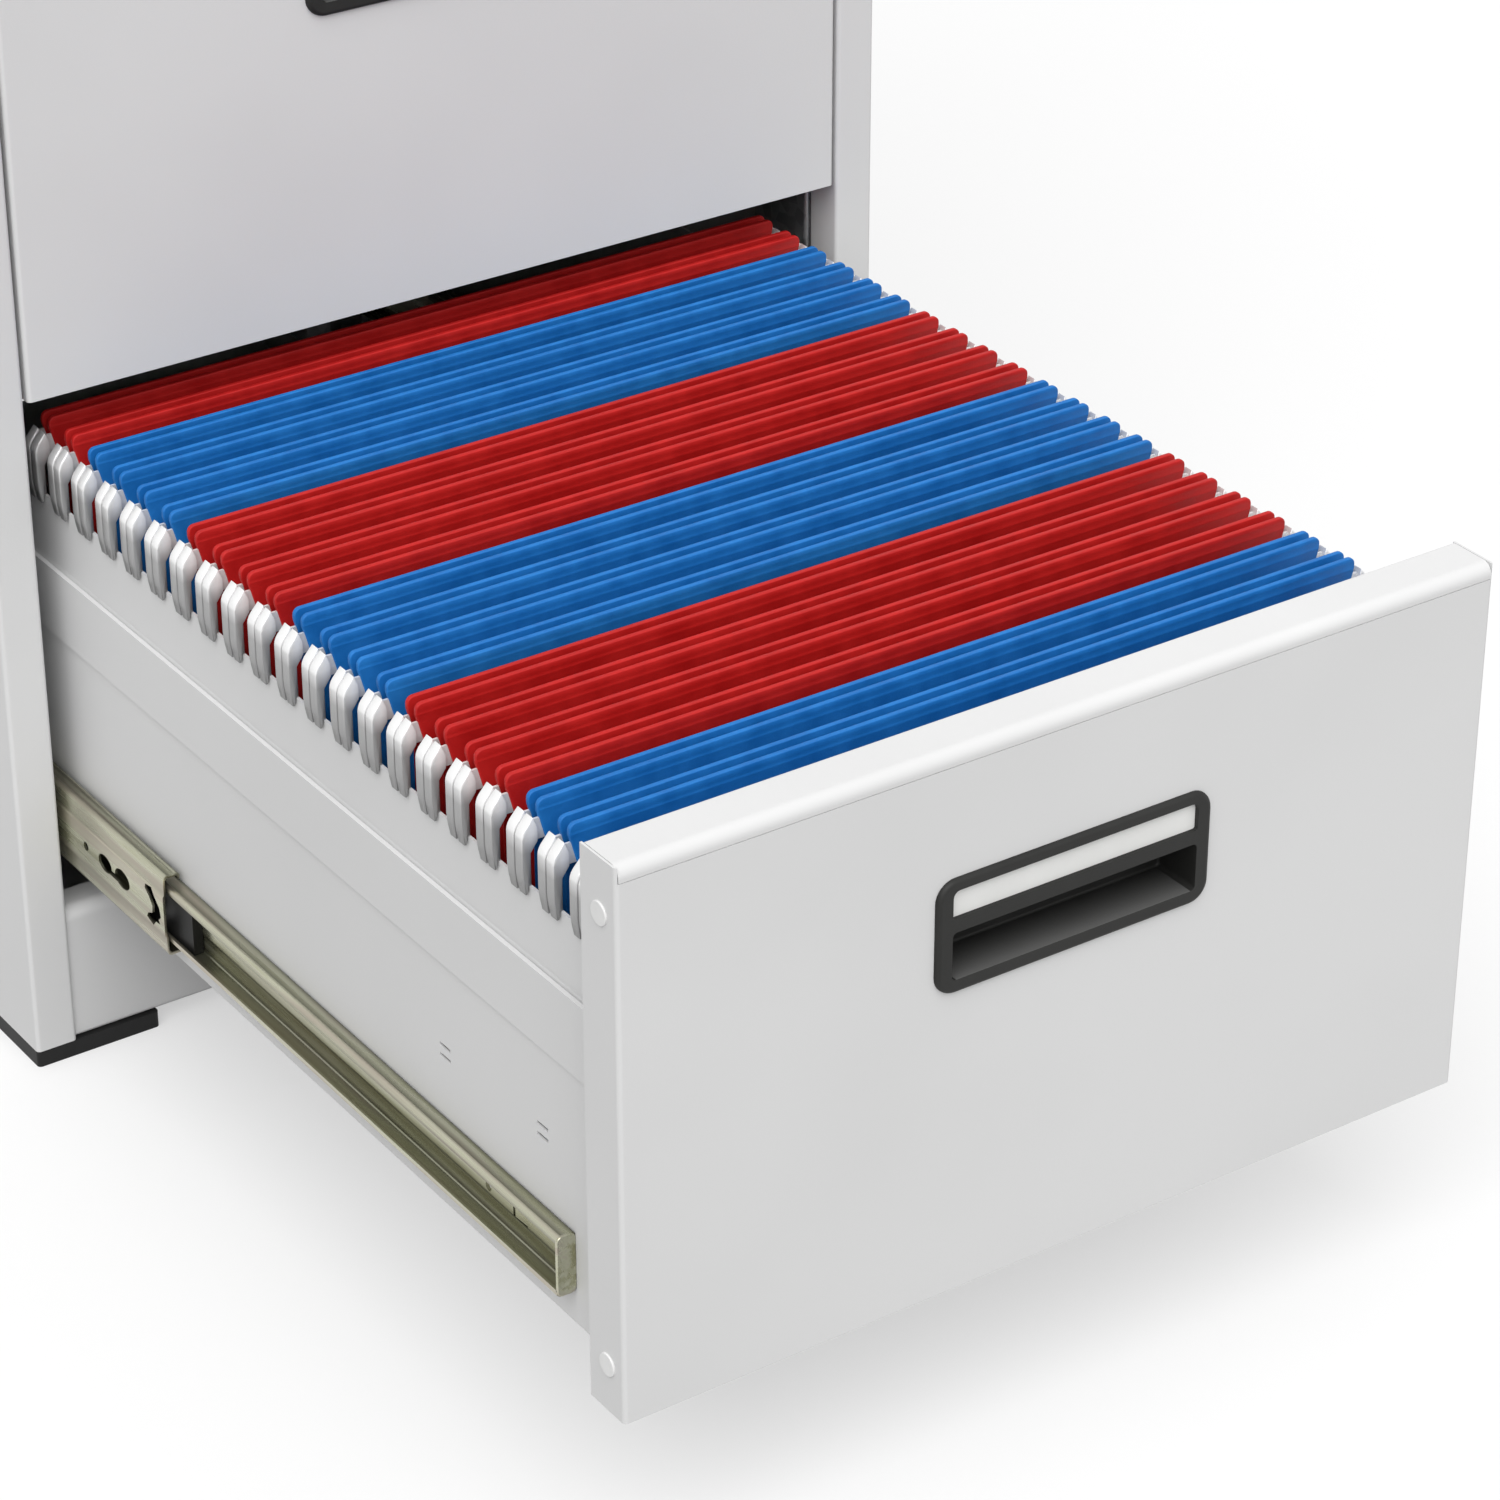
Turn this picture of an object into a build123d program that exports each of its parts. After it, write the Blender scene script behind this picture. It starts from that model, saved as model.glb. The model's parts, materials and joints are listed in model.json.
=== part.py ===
from build123d import *
import os

os.makedirs("parts", exist_ok=True)

# The cabinet stands on the floor at Z = 0, with its front towards -Y and its origin on the
# floor at the centre of the carcass. The lowest drawer is modelled pulled out and full of
# suspension files; the others are shut.

# Carcass
cabinet_width = 460
cabinet_depth = 620
drawer_count = 4
foot_height = 8
foot_size = 62
plinth_height = 67
front_height = 246.5
front_reveal = 3
top_rail_height = 32
carcass_sheet = 1
bend_radius = 2
cut_margin = 1

post_width = 20
post_depth = 22
post_lip = 12
rear_flange = 16
pan_flange = 20
plinth_setback = 2.5
plinth_depth = 19
plinth_top_radius = 6
plinth_lip = 8
seam_clearance = 0.3
pan_clearance = 0.1
back_panel_clearance = 1.5

upright_width = 30
front_upright_setback = 24
rear_upright_setback = 490
upright_end_clearance = 1

floor_hole_radius = 4.5
wall_hole_radius = 4
wall_hole_spacing = 300
wall_hole_drop = 100

panel_screw_count = 5
panel_screw_head_radius = 4
panel_screw_head_height = 1.6
panel_screw_radius = 2
panel_screw_length = 9
panel_screw_clearance = 0.05
panel_screw_edge = 9
panel_screw_margin = 60

# Drawers
open_distance = 455
drawer_sheet = 1
front_side_reveal = 2
front_thickness = 23.5
front_bend_radius = 2
nose_radius = 5
nose_drop = 6.5
liner_bend_radius = 1.6
body_length = 540
side_bottom = 11
side_top = 162.5
side_gap = 13.3
hem_bottom = 129
hem_thickness = 1
stamp_length = 8
stamp_height = 1.6
stamp_spacing = 5
stamp_places = [(121, 84), (49, 87)]
stamp_count = 2

rail_sheet = 1.2
rail_bottom = 122
rail_joggle_bottom = 158
rail_joggle_height = 5
rail_joggle = 1.7
rail_top = 194
rail_bend_radius = 3
rail_end_clearance = 0.3

# Handle and label
handle_width = 132
handle_height = 50.5
handle_bottom = 141
handle_corner_radius = 9
handle_proud = 2.5
handle_side_border = 7
handle_bottom_border = 5
recess_height = 21.7
handle_bar = 7
window_height = 11.6
window_corner_radius = 3
recess_corner_radius = 2
handle_bevel = 1.1
handle_wall = 1.4
pocket_clearance = 0.3
label_overlap = 1.5
label_thickness = 0.3
label_clearance = 0.1

# Plastic caps on the side flanges of the fronts
cap_radius = 5
cap_proud = 0.8
cap_stem_radius = 3
cap_stem_length = 5
cap_stem_clearance = 0.05
cap_setback = 11
cap_heights = [22, 223]

# Telescopic slides, three members a side
slide_centre = 42
slide_sheet = 1.2
slide_thickness = 12.7
slide_bend_radius = 1.8
slide_web_gap = 0.4
outer_half_height = 23
outer_flange = 8.9
outer_lip = 2.4
outer_setback = 26
outer_length = 500
middle_half_height = 20
middle_flange = 8.8
middle_lip = 3.2
middle_setback = 70
middle_length = 455
middle_ratio = 0.358
inner_half_height = 14
inner_flange = 9.1
inner_lip = 3
inner_setback = 50
inner_length = 480
slide_hole_radius = 2.2
middle_hole_setback = 72
middle_slot_setback = 46
middle_slot_spacing = 16
middle_slot_width = 9
middle_slot_length = 13
middle_slot_link = 4
middle_lance_setback = 10
middle_lance_length = 7
middle_lance_height = 20
inner_hole_setback = 62
inner_lance_setback = 38
inner_lance_length = 10
inner_lance_height = 7
cage_clearance = 0.3
cage_web_gap = 0.5
inner_cage_depth = 4.8
outer_cage_depth = 3.6
ball_radius = 2.3
ball_count = 6
ball_pitch = 18
inner_cage_setback = 12
outer_cage_setback = 165
outer_cage_length = 280
retainer_projection = 17
retainer_length = 42
retainer_clearance = 0.4
retainer_depth = 5

# Suspension files, listed from the back of the drawer to its front
file_colours = ["red"] * 2 + ["blue"] * 4 + ["red"] * 4 + ["blue"] * 4 + ["red"] * 4 + ["blue"] * 3
file_pitch = 21.9
first_file_setback = 43
leaf_spacing = 6.5
leaf_rail_gap = 5
leaf_top = 229
leaf_corner = 4
leaf_bottom = 22
leaf_sheet = 0.5
leaf_seam = 0.03
leaf_turn = 8
ridge_width = 2.2
ridge_height = 17
bar_sheet = 1
bar_height = 9
bar_clearance = 0.1
bar_seat = 1.8
bar_seat_clearance = 0.05
hook_width = 5.7
hook_gap = 0.2
hook_crest_drop = 8.5
hook_slope_drop = 7.5
hook_tab_length = 22.5
hook_thickness = 3
hook_tip = 1.5
hook_heel = 2
hook_seat_clearance = 0.3
hook_rail_clearance = 0.4

# Lock at the top right, with its bar down the right-hand side
lock_edge = 40
lock_body_radius = 9
lock_plug_radius = 6.5
lock_running_clearance = 0.05
lock_flange_radius = 11
lock_flange_height = 1.5
lock_body_length = 24
lock_plug_proud = 1
lock_tail_radius = 4
lock_tail_setback = 56
keyway_width = 1.2
keyway_height = 8
keyway_depth = 6
cam_radius = 10
cam_thickness = 3
crank_radius = 8
crank_pin_radius = 1.5
crank_pin_length = 3.1
lock_bar_sheet = 2
lock_bar_width = 14
lock_bar_clearance = 0.4
lock_bar_bottom = 150
yoke_gap = 0.6
yoke_half_height = 7
yoke_reach = 6
yoke_slot_half_height = 3.5
yoke_slot_margin = 1
latch_height = 8
latch_bottom = 87
latch_gap = 1
latch_reach = 10
weld_gap = 0.03
strike_reach = 8.3
strike_setback = 2.4

# Sizes that follow
half_width = cabinet_width / 2
front_y = -cabinet_depth / 2
back_y = cabinet_depth / 2
opening_half = half_width - post_width
drawer_pitch = front_height + front_reveal
first_front_bottom = foot_height + plinth_height + front_reveal
top_rail_bottom = first_front_bottom + drawer_count * drawer_pitch
cabinet_top = top_rail_bottom + top_rail_height
post_back_y = front_y + post_depth
skin_inner = half_width - carcass_sheet
floor_hole_x = half_width - foot_size / 2
floor_hole_y = cabinet_depth / 2 - foot_size / 2

front_half = opening_half - front_side_reveal
side_half = opening_half - side_gap
slide_back = side_half + slide_thickness
body_inner_half = side_half - drawer_sheet
rail_outer_half = body_inner_half - rail_joggle
panel_hidden_half = front_half - drawer_sheet - seam_clearance
leaf_half_width = rail_outer_half - leaf_rail_gap
lock_offset = half_width - lock_edge

window_half = handle_width / 2 - handle_side_border
recess_bottom = handle_bottom + handle_bottom_border
recess_top = recess_bottom + recess_height
window_bottom = recess_top + handle_bar
window_top = window_bottom + window_height
pocket_half = window_half + handle_wall

lock_z = top_rail_bottom + top_rail_height / 2 - carcass_sheet / 2
lock_tail_y = front_y + lock_tail_setback
yoke_y = lock_tail_y + cam_thickness + yoke_gap
lock_bar_x = slide_back + slide_sheet + lock_bar_clearance
upright_rear_y = front_y + front_upright_setback + upright_width


def save(part, name):
    part.label = name
    export_step(part, f"parts/{name}.step")


def block(x, y, z, mode=Mode.ADD):
    """A box between two values along each axis."""
    with Locations(((x[0] + x[1]) / 2, (y[0] + y[1]) / 2, (z[0] + z[1]) / 2)):
        Box(abs(x[1] - x[0]), abs(y[1] - y[0]), abs(z[1] - z[0]), mode=mode)


def folded(points, radii, thickness, side):
    """The section of a folded sheet, from the corners of its outer face."""
    with BuildSketch() as section:
        with BuildLine():
            FilletPolyline(*points, radius=radii)
            offset(amount=thickness, side=side)
        make_face()
    return section.sketch


def drawer_bottom(number):
    return first_front_bottom + (number - 1) * drawer_pitch


def drawer_front_y(number):
    return front_y - open_distance if number == 1 else front_y


# Carcass panels
side_path = [
    (-opening_half - post_lip, post_back_y),
    (-opening_half, post_back_y),
    (-opening_half, front_y),
    (-half_width, front_y),
    (-half_width, back_y),
    (-half_width + rear_flange, back_y),
]
screw_rows = [
    foot_height + panel_screw_margin
    + i * (cabinet_top - foot_height - 2 * panel_screw_margin) / (panel_screw_count - 1)
    for i in range(panel_screw_count)
]
screw_x = half_width - panel_screw_edge

with BuildPart() as left_side_panel:
    with BuildSketch(Plane.XY.offset(foot_height)):
        add(folded(side_path, bend_radius, carcass_sheet, Side.RIGHT))
    extrude(amount=cabinet_top - foot_height)
    block(
        (-skin_inner, half_width),
        (front_y - cut_margin, back_y + cut_margin),
        (cabinet_top - carcass_sheet, cabinet_top + cut_margin),
        mode=Mode.SUBTRACT,
    )
    with Locations(*[(-screw_x, back_y, z) for z in screw_rows]):
        Cylinder(panel_screw_radius, 4 * carcass_sheet, rotation=(90, 0, 0), mode=Mode.SUBTRACT)
save(left_side_panel.part, "left_side_panel")

with BuildPart() as right_side_panel:
    mirror(left_side_panel.part, about=Plane.YZ)
save(right_side_panel.part, "right_side_panel")

back_panel_half = skin_inner - back_panel_clearance
with BuildPart() as back_panel:
    block(
        (-back_panel_half, back_panel_half),
        (back_y - 2 * carcass_sheet, back_y - carcass_sheet),
        (foot_height + 2 * carcass_sheet, cabinet_top - 2 * carcass_sheet),
    )
    with Locations(*[(side * screw_x, back_y, z) for z in screw_rows for side in (-1, 1)]):
        Cylinder(panel_screw_radius, 6 * carcass_sheet, rotation=(90, 0, 0), mode=Mode.SUBTRACT)
    with Locations((0, back_y, cabinet_top - wall_hole_drop)):
        with GridLocations(wall_hole_spacing, 0, 2, 1):
            Cylinder(wall_hole_radius, 6 * carcass_sheet, rotation=(90, 0, 0), mode=Mode.SUBTRACT)
save(back_panel.part, "back_panel")

with BuildPart() as panel_screws:
    with Locations(*[(side * screw_x, back_y, z) for z in screw_rows for side in (-1, 1)]):
        Cylinder(
            panel_screw_head_radius,
            panel_screw_head_height,
            rotation=(-90, 0, 0),
            align=(Align.CENTER, Align.CENTER, Align.MIN),
        )
        Cylinder(
            panel_screw_radius - panel_screw_clearance,
            panel_screw_length,
            rotation=(90, 0, 0),
            align=(Align.CENTER, Align.CENTER, Align.MIN),
        )
save(panel_screws.part, "panel_screws")

pan_half = skin_inner - pan_clearance
with BuildPart() as top_panel:
    with BuildSketch(Plane.XZ.offset(-back_y)):
        add(
            folded(
                [
                    (-pan_half, cabinet_top - pan_flange),
                    (-pan_half, cabinet_top),
                    (pan_half, cabinet_top),
                    (pan_half, cabinet_top - pan_flange),
                ],
                bend_radius,
                carcass_sheet,
                Side.RIGHT,
            )
        )
    extrude(amount=cabinet_depth)
    cleared = [
        (front_y - cut_margin, post_back_y + seam_clearance),
        (back_y - 2 * carcass_sheet - seam_clearance, back_y + cut_margin),
    ]
    for start_and_end in cleared:
        block(
            (-half_width, half_width),
            start_and_end,
            (cabinet_top - pan_flange - cut_margin, cabinet_top - carcass_sheet),
            mode=Mode.SUBTRACT,
        )
save(top_panel.part, "top_panel")

with BuildPart() as base_pan:
    with BuildSketch(Plane.XZ.offset(-back_y + 2 * carcass_sheet + seam_clearance)):
        add(
            folded(
                [
                    (-skin_inner, foot_height + pan_flange),
                    (-skin_inner, foot_height),
                    (skin_inner, foot_height),
                    (skin_inner, foot_height + pan_flange),
                ],
                bend_radius,
                carcass_sheet,
                Side.LEFT,
            )
        )
    extrude(amount=cabinet_depth - post_depth - 2 * carcass_sheet - 2 * seam_clearance)
    with Locations((0, 0, foot_height + carcass_sheet)):
        with GridLocations(2 * floor_hole_x, 2 * floor_hole_y, 2, 2):
            Hole(floor_hole_radius, depth=2 * carcass_sheet)
save(base_pan.part, "base_pan")

with BuildPart() as foot_pads:
    with GridLocations(2 * floor_hole_x, 2 * floor_hole_y, 2, 2):
        Box(foot_size, foot_size, foot_height, align=(Align.CENTER, Align.CENTER, Align.MIN))
    fillet(foot_pads.edges().filter_by(Axis.Z), radius=bend_radius)
    with Locations((0, 0, foot_height)):
        with GridLocations(2 * floor_hole_x, 2 * floor_hole_y, 2, 2):
            Hole(floor_hole_radius, depth=foot_height)
save(foot_pads.part, "foot_pads")

rail_half = opening_half - seam_clearance
plinth_y = front_y + plinth_setback
plinth_top = foot_height + plinth_height
with BuildPart() as plinth_rail:
    with BuildSketch(Plane.YZ.offset(-rail_half)):
        add(
            folded(
                [
                    (plinth_y + plinth_depth, foot_height),
                    (plinth_y, foot_height),
                    (plinth_y, plinth_top),
                    (plinth_y + plinth_depth, plinth_top),
                    (plinth_y + plinth_depth, plinth_top - plinth_lip),
                ],
                [bend_radius, plinth_top_radius, bend_radius],
                carcass_sheet,
                Side.RIGHT,
            )
        )
    extrude(amount=2 * rail_half)
save(plinth_rail.part, "plinth_rail")

with BuildPart() as top_front_rail:
    with BuildSketch(Plane.YZ.offset(-rail_half)):
        add(
            folded(
                [
                    (post_back_y, top_rail_bottom),
                    (front_y, top_rail_bottom),
                    (front_y, cabinet_top - carcass_sheet),
                    (post_back_y, cabinet_top - carcass_sheet),
                ],
                bend_radius,
                carcass_sheet,
                Side.RIGHT,
            )
        )
    extrude(amount=2 * rail_half)
    with Locations(Plane.XZ * Location((lock_offset, lock_z, -front_y))):
        Hole(lock_body_radius + lock_running_clearance, depth=4 * carcass_sheet)
save(top_front_rail.part, "top_front_rail")

# Uprights that carry the slides, a front and a rear one on each side
upright_bottom = foot_height + pan_flange + upright_end_clearance
upright_top = cabinet_top - pan_flange - upright_end_clearance
with BuildPart() as left_uprights:
    for setback in (front_upright_setback, rear_upright_setback):
        upright_path = [
            (-skin_inner, front_y + setback),
            (-slide_back, front_y + setback),
            (-slide_back, front_y + setback + upright_width),
            (-skin_inner, front_y + setback + upright_width),
        ]
        with BuildSketch(Plane.XY.offset(upright_bottom)):
            add(folded(upright_path, bend_radius, carcass_sheet, Side.LEFT))
        extrude(amount=upright_top - upright_bottom)
save(left_uprights.part, "left_uprights")

with BuildPart() as right_uprights:
    mirror(left_uprights.part, about=Plane.YZ)
save(right_uprights.part, "right_uprights")

# Outer slide members, fixed to the uprights
with BuildPart() as left_cabinet_slides:
    for number in range(1, drawer_count + 1):
        centre = drawer_bottom(number) + slide_centre
        flange_x = -slide_back + outer_flange
        with BuildSketch(Plane.XZ.offset(-(front_y + outer_setback + outer_length))):
            add(
                folded(
                    [
                        (flange_x, centre + outer_half_height - outer_lip),
                        (flange_x, centre + outer_half_height),
                        (-slide_back, centre + outer_half_height),
                        (-slide_back, centre - outer_half_height),
                        (flange_x, centre - outer_half_height),
                        (flange_x, centre - outer_half_height + outer_lip),
                    ],
                    slide_bend_radius,
                    slide_sheet,
                    Side.LEFT,
                )
            )
        extrude(amount=outer_length)
save(left_cabinet_slides.part, "left_cabinet_slides")

with BuildPart() as right_cabinet_slides:
    mirror(left_cabinet_slides.part, about=Plane.YZ)
save(right_cabinet_slides.part, "right_cabinet_slides")

# Lock
with BuildPart() as lock_body:
    with BuildSketch(Plane.XZ.offset(-front_y)):
        with Locations((lock_offset, lock_z)):
            Circle(lock_flange_radius)
            Circle(lock_plug_radius, mode=Mode.SUBTRACT)
    extrude(amount=lock_flange_height)
    with BuildSketch(Plane.XZ.offset(-front_y)):
        with Locations((lock_offset, lock_z)):
            Circle(lock_body_radius)
            Circle(lock_plug_radius, mode=Mode.SUBTRACT)
    extrude(amount=-lock_body_length)
save(lock_body.part, "lock_body")

plug_radius = lock_plug_radius - lock_running_clearance
plug_front_y = front_y - lock_flange_height - lock_plug_proud
with BuildPart() as lock_plug:
    with BuildSketch(Plane.XZ.offset(-plug_front_y)):
        with Locations((lock_offset, lock_z)):
            Circle(plug_radius)
    extrude(amount=-(lock_body_length + lock_flange_height + lock_plug_proud))
    with BuildSketch(Plane.XZ.offset(-lock_tail_y)):
        with Locations((lock_offset, lock_z)):
            Circle(lock_tail_radius)
    extrude(amount=lock_tail_setback - lock_body_length)
    with BuildSketch(Plane.XZ.offset(-lock_tail_y)):
        with Locations((lock_offset, lock_z)):
            Circle(cam_radius)
    extrude(amount=-cam_thickness)
    with BuildSketch(Plane.XZ.offset(-(lock_tail_y + cam_thickness))):
        with Locations((lock_offset + crank_radius, lock_z)):
            Circle(crank_pin_radius)
    extrude(amount=-crank_pin_length)
    block(
        (lock_offset - keyway_width / 2, lock_offset + keyway_width / 2),
        (plug_front_y - cut_margin, plug_front_y + keyway_depth),
        (lock_z - keyway_height / 2, lock_z + keyway_height / 2),
        mode=Mode.SUBTRACT,
    )
save(lock_plug.part, "lock_plug")

lock_bar_y = upright_rear_y + lock_bar_clearance
with BuildPart() as lock_bar:
    block(
        (lock_bar_x, lock_bar_x + lock_bar_sheet),
        (lock_bar_y, lock_bar_y + lock_bar_width),
        (lock_bar_bottom, lock_z + yoke_half_height),
    )
    block(
        (lock_offset - yoke_reach, lock_bar_x - weld_gap),
        (yoke_y, yoke_y + lock_bar_sheet),
        (lock_z - yoke_half_height, lock_z + yoke_half_height),
    )
    block(
        (
            lock_offset - crank_pin_radius - yoke_slot_margin,
            lock_offset + crank_radius + crank_pin_radius + yoke_slot_margin,
        ),
        (yoke_y - cut_margin, yoke_y + lock_bar_sheet + cut_margin),
        (lock_z - yoke_slot_half_height, lock_z + yoke_slot_half_height),
        mode=Mode.SUBTRACT,
    )
    for number in range(1, drawer_count + 1):
        block(
            (lock_bar_x - latch_reach, lock_bar_x - weld_gap),
            (yoke_y, yoke_y + lock_bar_sheet),
            (drawer_bottom(number) + latch_bottom, drawer_bottom(number) + latch_bottom + latch_height),
        )
save(lock_bar.part, "lock_bar")


# Drawers
def make_front(number):
    """The outer skin of a drawer front: face, side flanges and bottom flange."""
    bottom = drawer_bottom(number)
    face_y = drawer_front_y(number)
    back = face_y + front_thickness
    top = bottom + front_height
    with BuildPart() as front:
        path = [(-front_half, back), (-front_half, face_y), (front_half, face_y), (front_half, back)]
        with BuildSketch(Plane.XY.offset(bottom)):
            add(folded(path, front_bend_radius, drawer_sheet, Side.LEFT))
        extrude(amount=front_height)
        inner = front_half - drawer_sheet
        block((-inner, inner), (face_y + drawer_sheet, back), (bottom, bottom + drawer_sheet))
        block(
            (-inner, inner),
            (face_y - cut_margin, face_y + 2 * nose_radius),
            (top - nose_drop - seam_clearance, top + cut_margin),
            mode=Mode.SUBTRACT,
        )
        block(
            (-pocket_half - pocket_clearance, pocket_half + pocket_clearance),
            (face_y - cut_margin, face_y + 2 * drawer_sheet),
            (
                bottom + recess_bottom - handle_wall - pocket_clearance,
                bottom + recess_top + handle_wall + pocket_clearance,
            ),
            mode=Mode.SUBTRACT,
        )
        for height in cap_heights:
            through = 2 * (front_half + cut_margin)
            with Locations((0, face_y + cap_setback, bottom + height)):
                Cylinder(cap_stem_radius, through, rotation=(0, 90, 0), mode=Mode.SUBTRACT)
    return front.part


def make_liner(number):
    """The inner wall of a drawer front, folded over its top edge into a rounded nose."""
    bottom = drawer_bottom(number)
    face_y = drawer_front_y(number)
    top = bottom + front_height
    back = face_y + front_thickness
    with BuildPart() as liner:
        path = [
            (back, bottom + drawer_sheet + seam_clearance),
            (back, top),
            (face_y, top),
            (face_y, top - nose_drop),
        ]
        with BuildSketch(Plane.YZ.offset(-panel_hidden_half)):
            add(folded(path, [liner_bend_radius, nose_radius], drawer_sheet, Side.LEFT))
        extrude(amount=2 * panel_hidden_half)
    return liner.part


def make_handle(number):
    """The handle moulding: a frame round the label window and the finger recess."""
    bottom = drawer_bottom(number)
    face_y = drawer_front_y(number)
    middle_z = bottom + handle_bottom + handle_height / 2
    pocket_back = face_y + front_thickness - drawer_sheet - pocket_clearance
    with BuildPart() as handle:
        with BuildSketch(Plane.XZ.offset(-face_y)):
            with Locations((0, middle_z)):
                RectangleRounded(handle_width, handle_height, handle_corner_radius)
        extrude(amount=handle_proud)
        chamfer(handle.faces().sort_by(Axis.Y)[0].edges(), length=handle_bevel)
        block(
            (-pocket_half, pocket_half),
            (face_y, pocket_back),
            (bottom + recess_bottom - handle_wall, bottom + recess_top + handle_wall),
        )
        with BuildSketch(Plane.XZ.offset(-face_y)):
            with Locations((0, bottom + (window_bottom + window_top) / 2)):
                RectangleRounded(2 * window_half, window_height, window_corner_radius)
        extrude(amount=handle_proud, mode=Mode.SUBTRACT)
        with BuildSketch(Plane.XZ.offset(handle_proud - face_y)):
            with Locations((0, bottom + (recess_bottom + recess_top) / 2)):
                RectangleRounded(2 * window_half, recess_height, recess_corner_radius)
        recess_depth = handle_proud + front_thickness - 2 * drawer_sheet - handle_wall
        extrude(amount=-recess_depth, mode=Mode.SUBTRACT)
        block(
            (-window_half - 2 * label_overlap, window_half + 2 * label_overlap),
            (face_y - label_thickness - label_clearance, face_y + label_clearance),
            (bottom + window_bottom - 2 * label_overlap, bottom + window_top + 2 * label_overlap),
            mode=Mode.SUBTRACT,
        )
    return handle.part


def make_label(number):
    """The paper label card, held between the skin and the handle moulding."""
    bottom = drawer_bottom(number)
    face_y = drawer_front_y(number)
    with BuildPart() as label:
        block(
            (-window_half - label_overlap, window_half + label_overlap),
            (face_y - label_thickness, face_y),
            (bottom + window_bottom - label_overlap, bottom + window_top + label_overlap),
        )
    return label.part


def make_body(number):
    """The drawer body: bottom, sides with hemmed tops, back wall and the strike for the lock."""
    bottom = drawer_bottom(number)
    start = drawer_front_y(number) + front_thickness
    end = start + body_length
    with BuildPart() as body:
        path = [
            (-side_half, bottom + side_top),
            (-side_half, bottom + side_bottom),
            (side_half, bottom + side_bottom),
            (side_half, bottom + side_top),
        ]
        with BuildSketch(Plane.XZ.offset(-end)):
            add(folded(path, bend_radius, drawer_sheet, Side.LEFT))
        extrude(amount=body_length)
        for side in (-1, 1):
            block(
                (side * side_half, side * (side_half + hem_thickness)),
                (start, end),
                (bottom + hem_bottom, bottom + side_top),
            )
        block(
            (-body_inner_half, body_inner_half),
            (end - drawer_sheet, end),
            (bottom + side_bottom + drawer_sheet, bottom + side_top),
        )
        for setback, height in stamp_places:
            for i in range(stamp_count):
                with Locations((0, start + setback, bottom + height + i * stamp_spacing)):
                    Box(2 * (side_half + cut_margin), stamp_length, stamp_height, mode=Mode.SUBTRACT)
        strike_y = drawer_front_y(number) - front_y + yoke_y + lock_bar_sheet + strike_setback
        strike_z = bottom + latch_bottom + latch_height + latch_gap
        block(
            (side_half + weld_gap, side_half + strike_reach),
            (strike_y, strike_y + lock_bar_sheet),
            (strike_z, strike_z + latch_height),
        )
    return body.part


def make_file_rails(number):
    """The two upper side plates that the suspension files hang on."""
    bottom = drawer_bottom(number)
    start = drawer_front_y(number) + front_thickness
    end = start + body_length - drawer_sheet - rail_end_clearance
    with BuildPart() as rails:
        path = [
            (-body_inner_half, bottom + rail_bottom),
            (-body_inner_half, bottom + rail_joggle_bottom),
            (-rail_outer_half, bottom + rail_joggle_bottom + rail_joggle_height),
            (-rail_outer_half, bottom + rail_top),
        ]
        with BuildSketch(Plane.XZ.offset(-end)):
            add(folded(path, rail_bend_radius, rail_sheet, Side.RIGHT))
        extrude(amount=end - start - rail_end_clearance)
        mirror(about=Plane.YZ)
    return rails.part


def make_inner_slides(number):
    """The slide members fixed to the drawer sides, with their closed front ends."""
    centre = drawer_bottom(number) + slide_centre
    start = drawer_front_y(number) + inner_setback
    flange_x = -side_half - inner_flange
    with BuildPart() as slides:
        path = [
            (flange_x, centre + inner_half_height - inner_lip),
            (flange_x, centre + inner_half_height),
            (-side_half, centre + inner_half_height),
            (-side_half, centre - inner_half_height),
            (flange_x, centre - inner_half_height),
            (flange_x, centre - inner_half_height + inner_lip),
        ]
        with BuildSketch(Plane.XZ.offset(-(start + inner_length))):
            add(folded(path, slide_bend_radius, slide_sheet, Side.RIGHT))
        extrude(amount=inner_length)
        with BuildSketch(Plane.XZ.offset(-(start + slide_sheet))):
            with Locations((-side_half - inner_flange / 2, centre)):
                RectangleRounded(inner_flange, 2 * inner_half_height, slide_bend_radius)
        extrude(amount=slide_sheet)
        with Locations((-side_half, start + inner_hole_setback, centre)):
            Cylinder(slide_hole_radius, 4 * slide_sheet, rotation=(0, 90, 0), mode=Mode.SUBTRACT)
        with Locations((-side_half, start + inner_lance_setback, centre)):
            Box(4 * slide_sheet, inner_lance_length, inner_lance_height, mode=Mode.SUBTRACT)
        mirror(about=Plane.YZ)
    return slides.part


def middle_start(number):
    travel = front_y - drawer_front_y(number)
    return front_y + middle_setback - middle_ratio * travel


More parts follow.
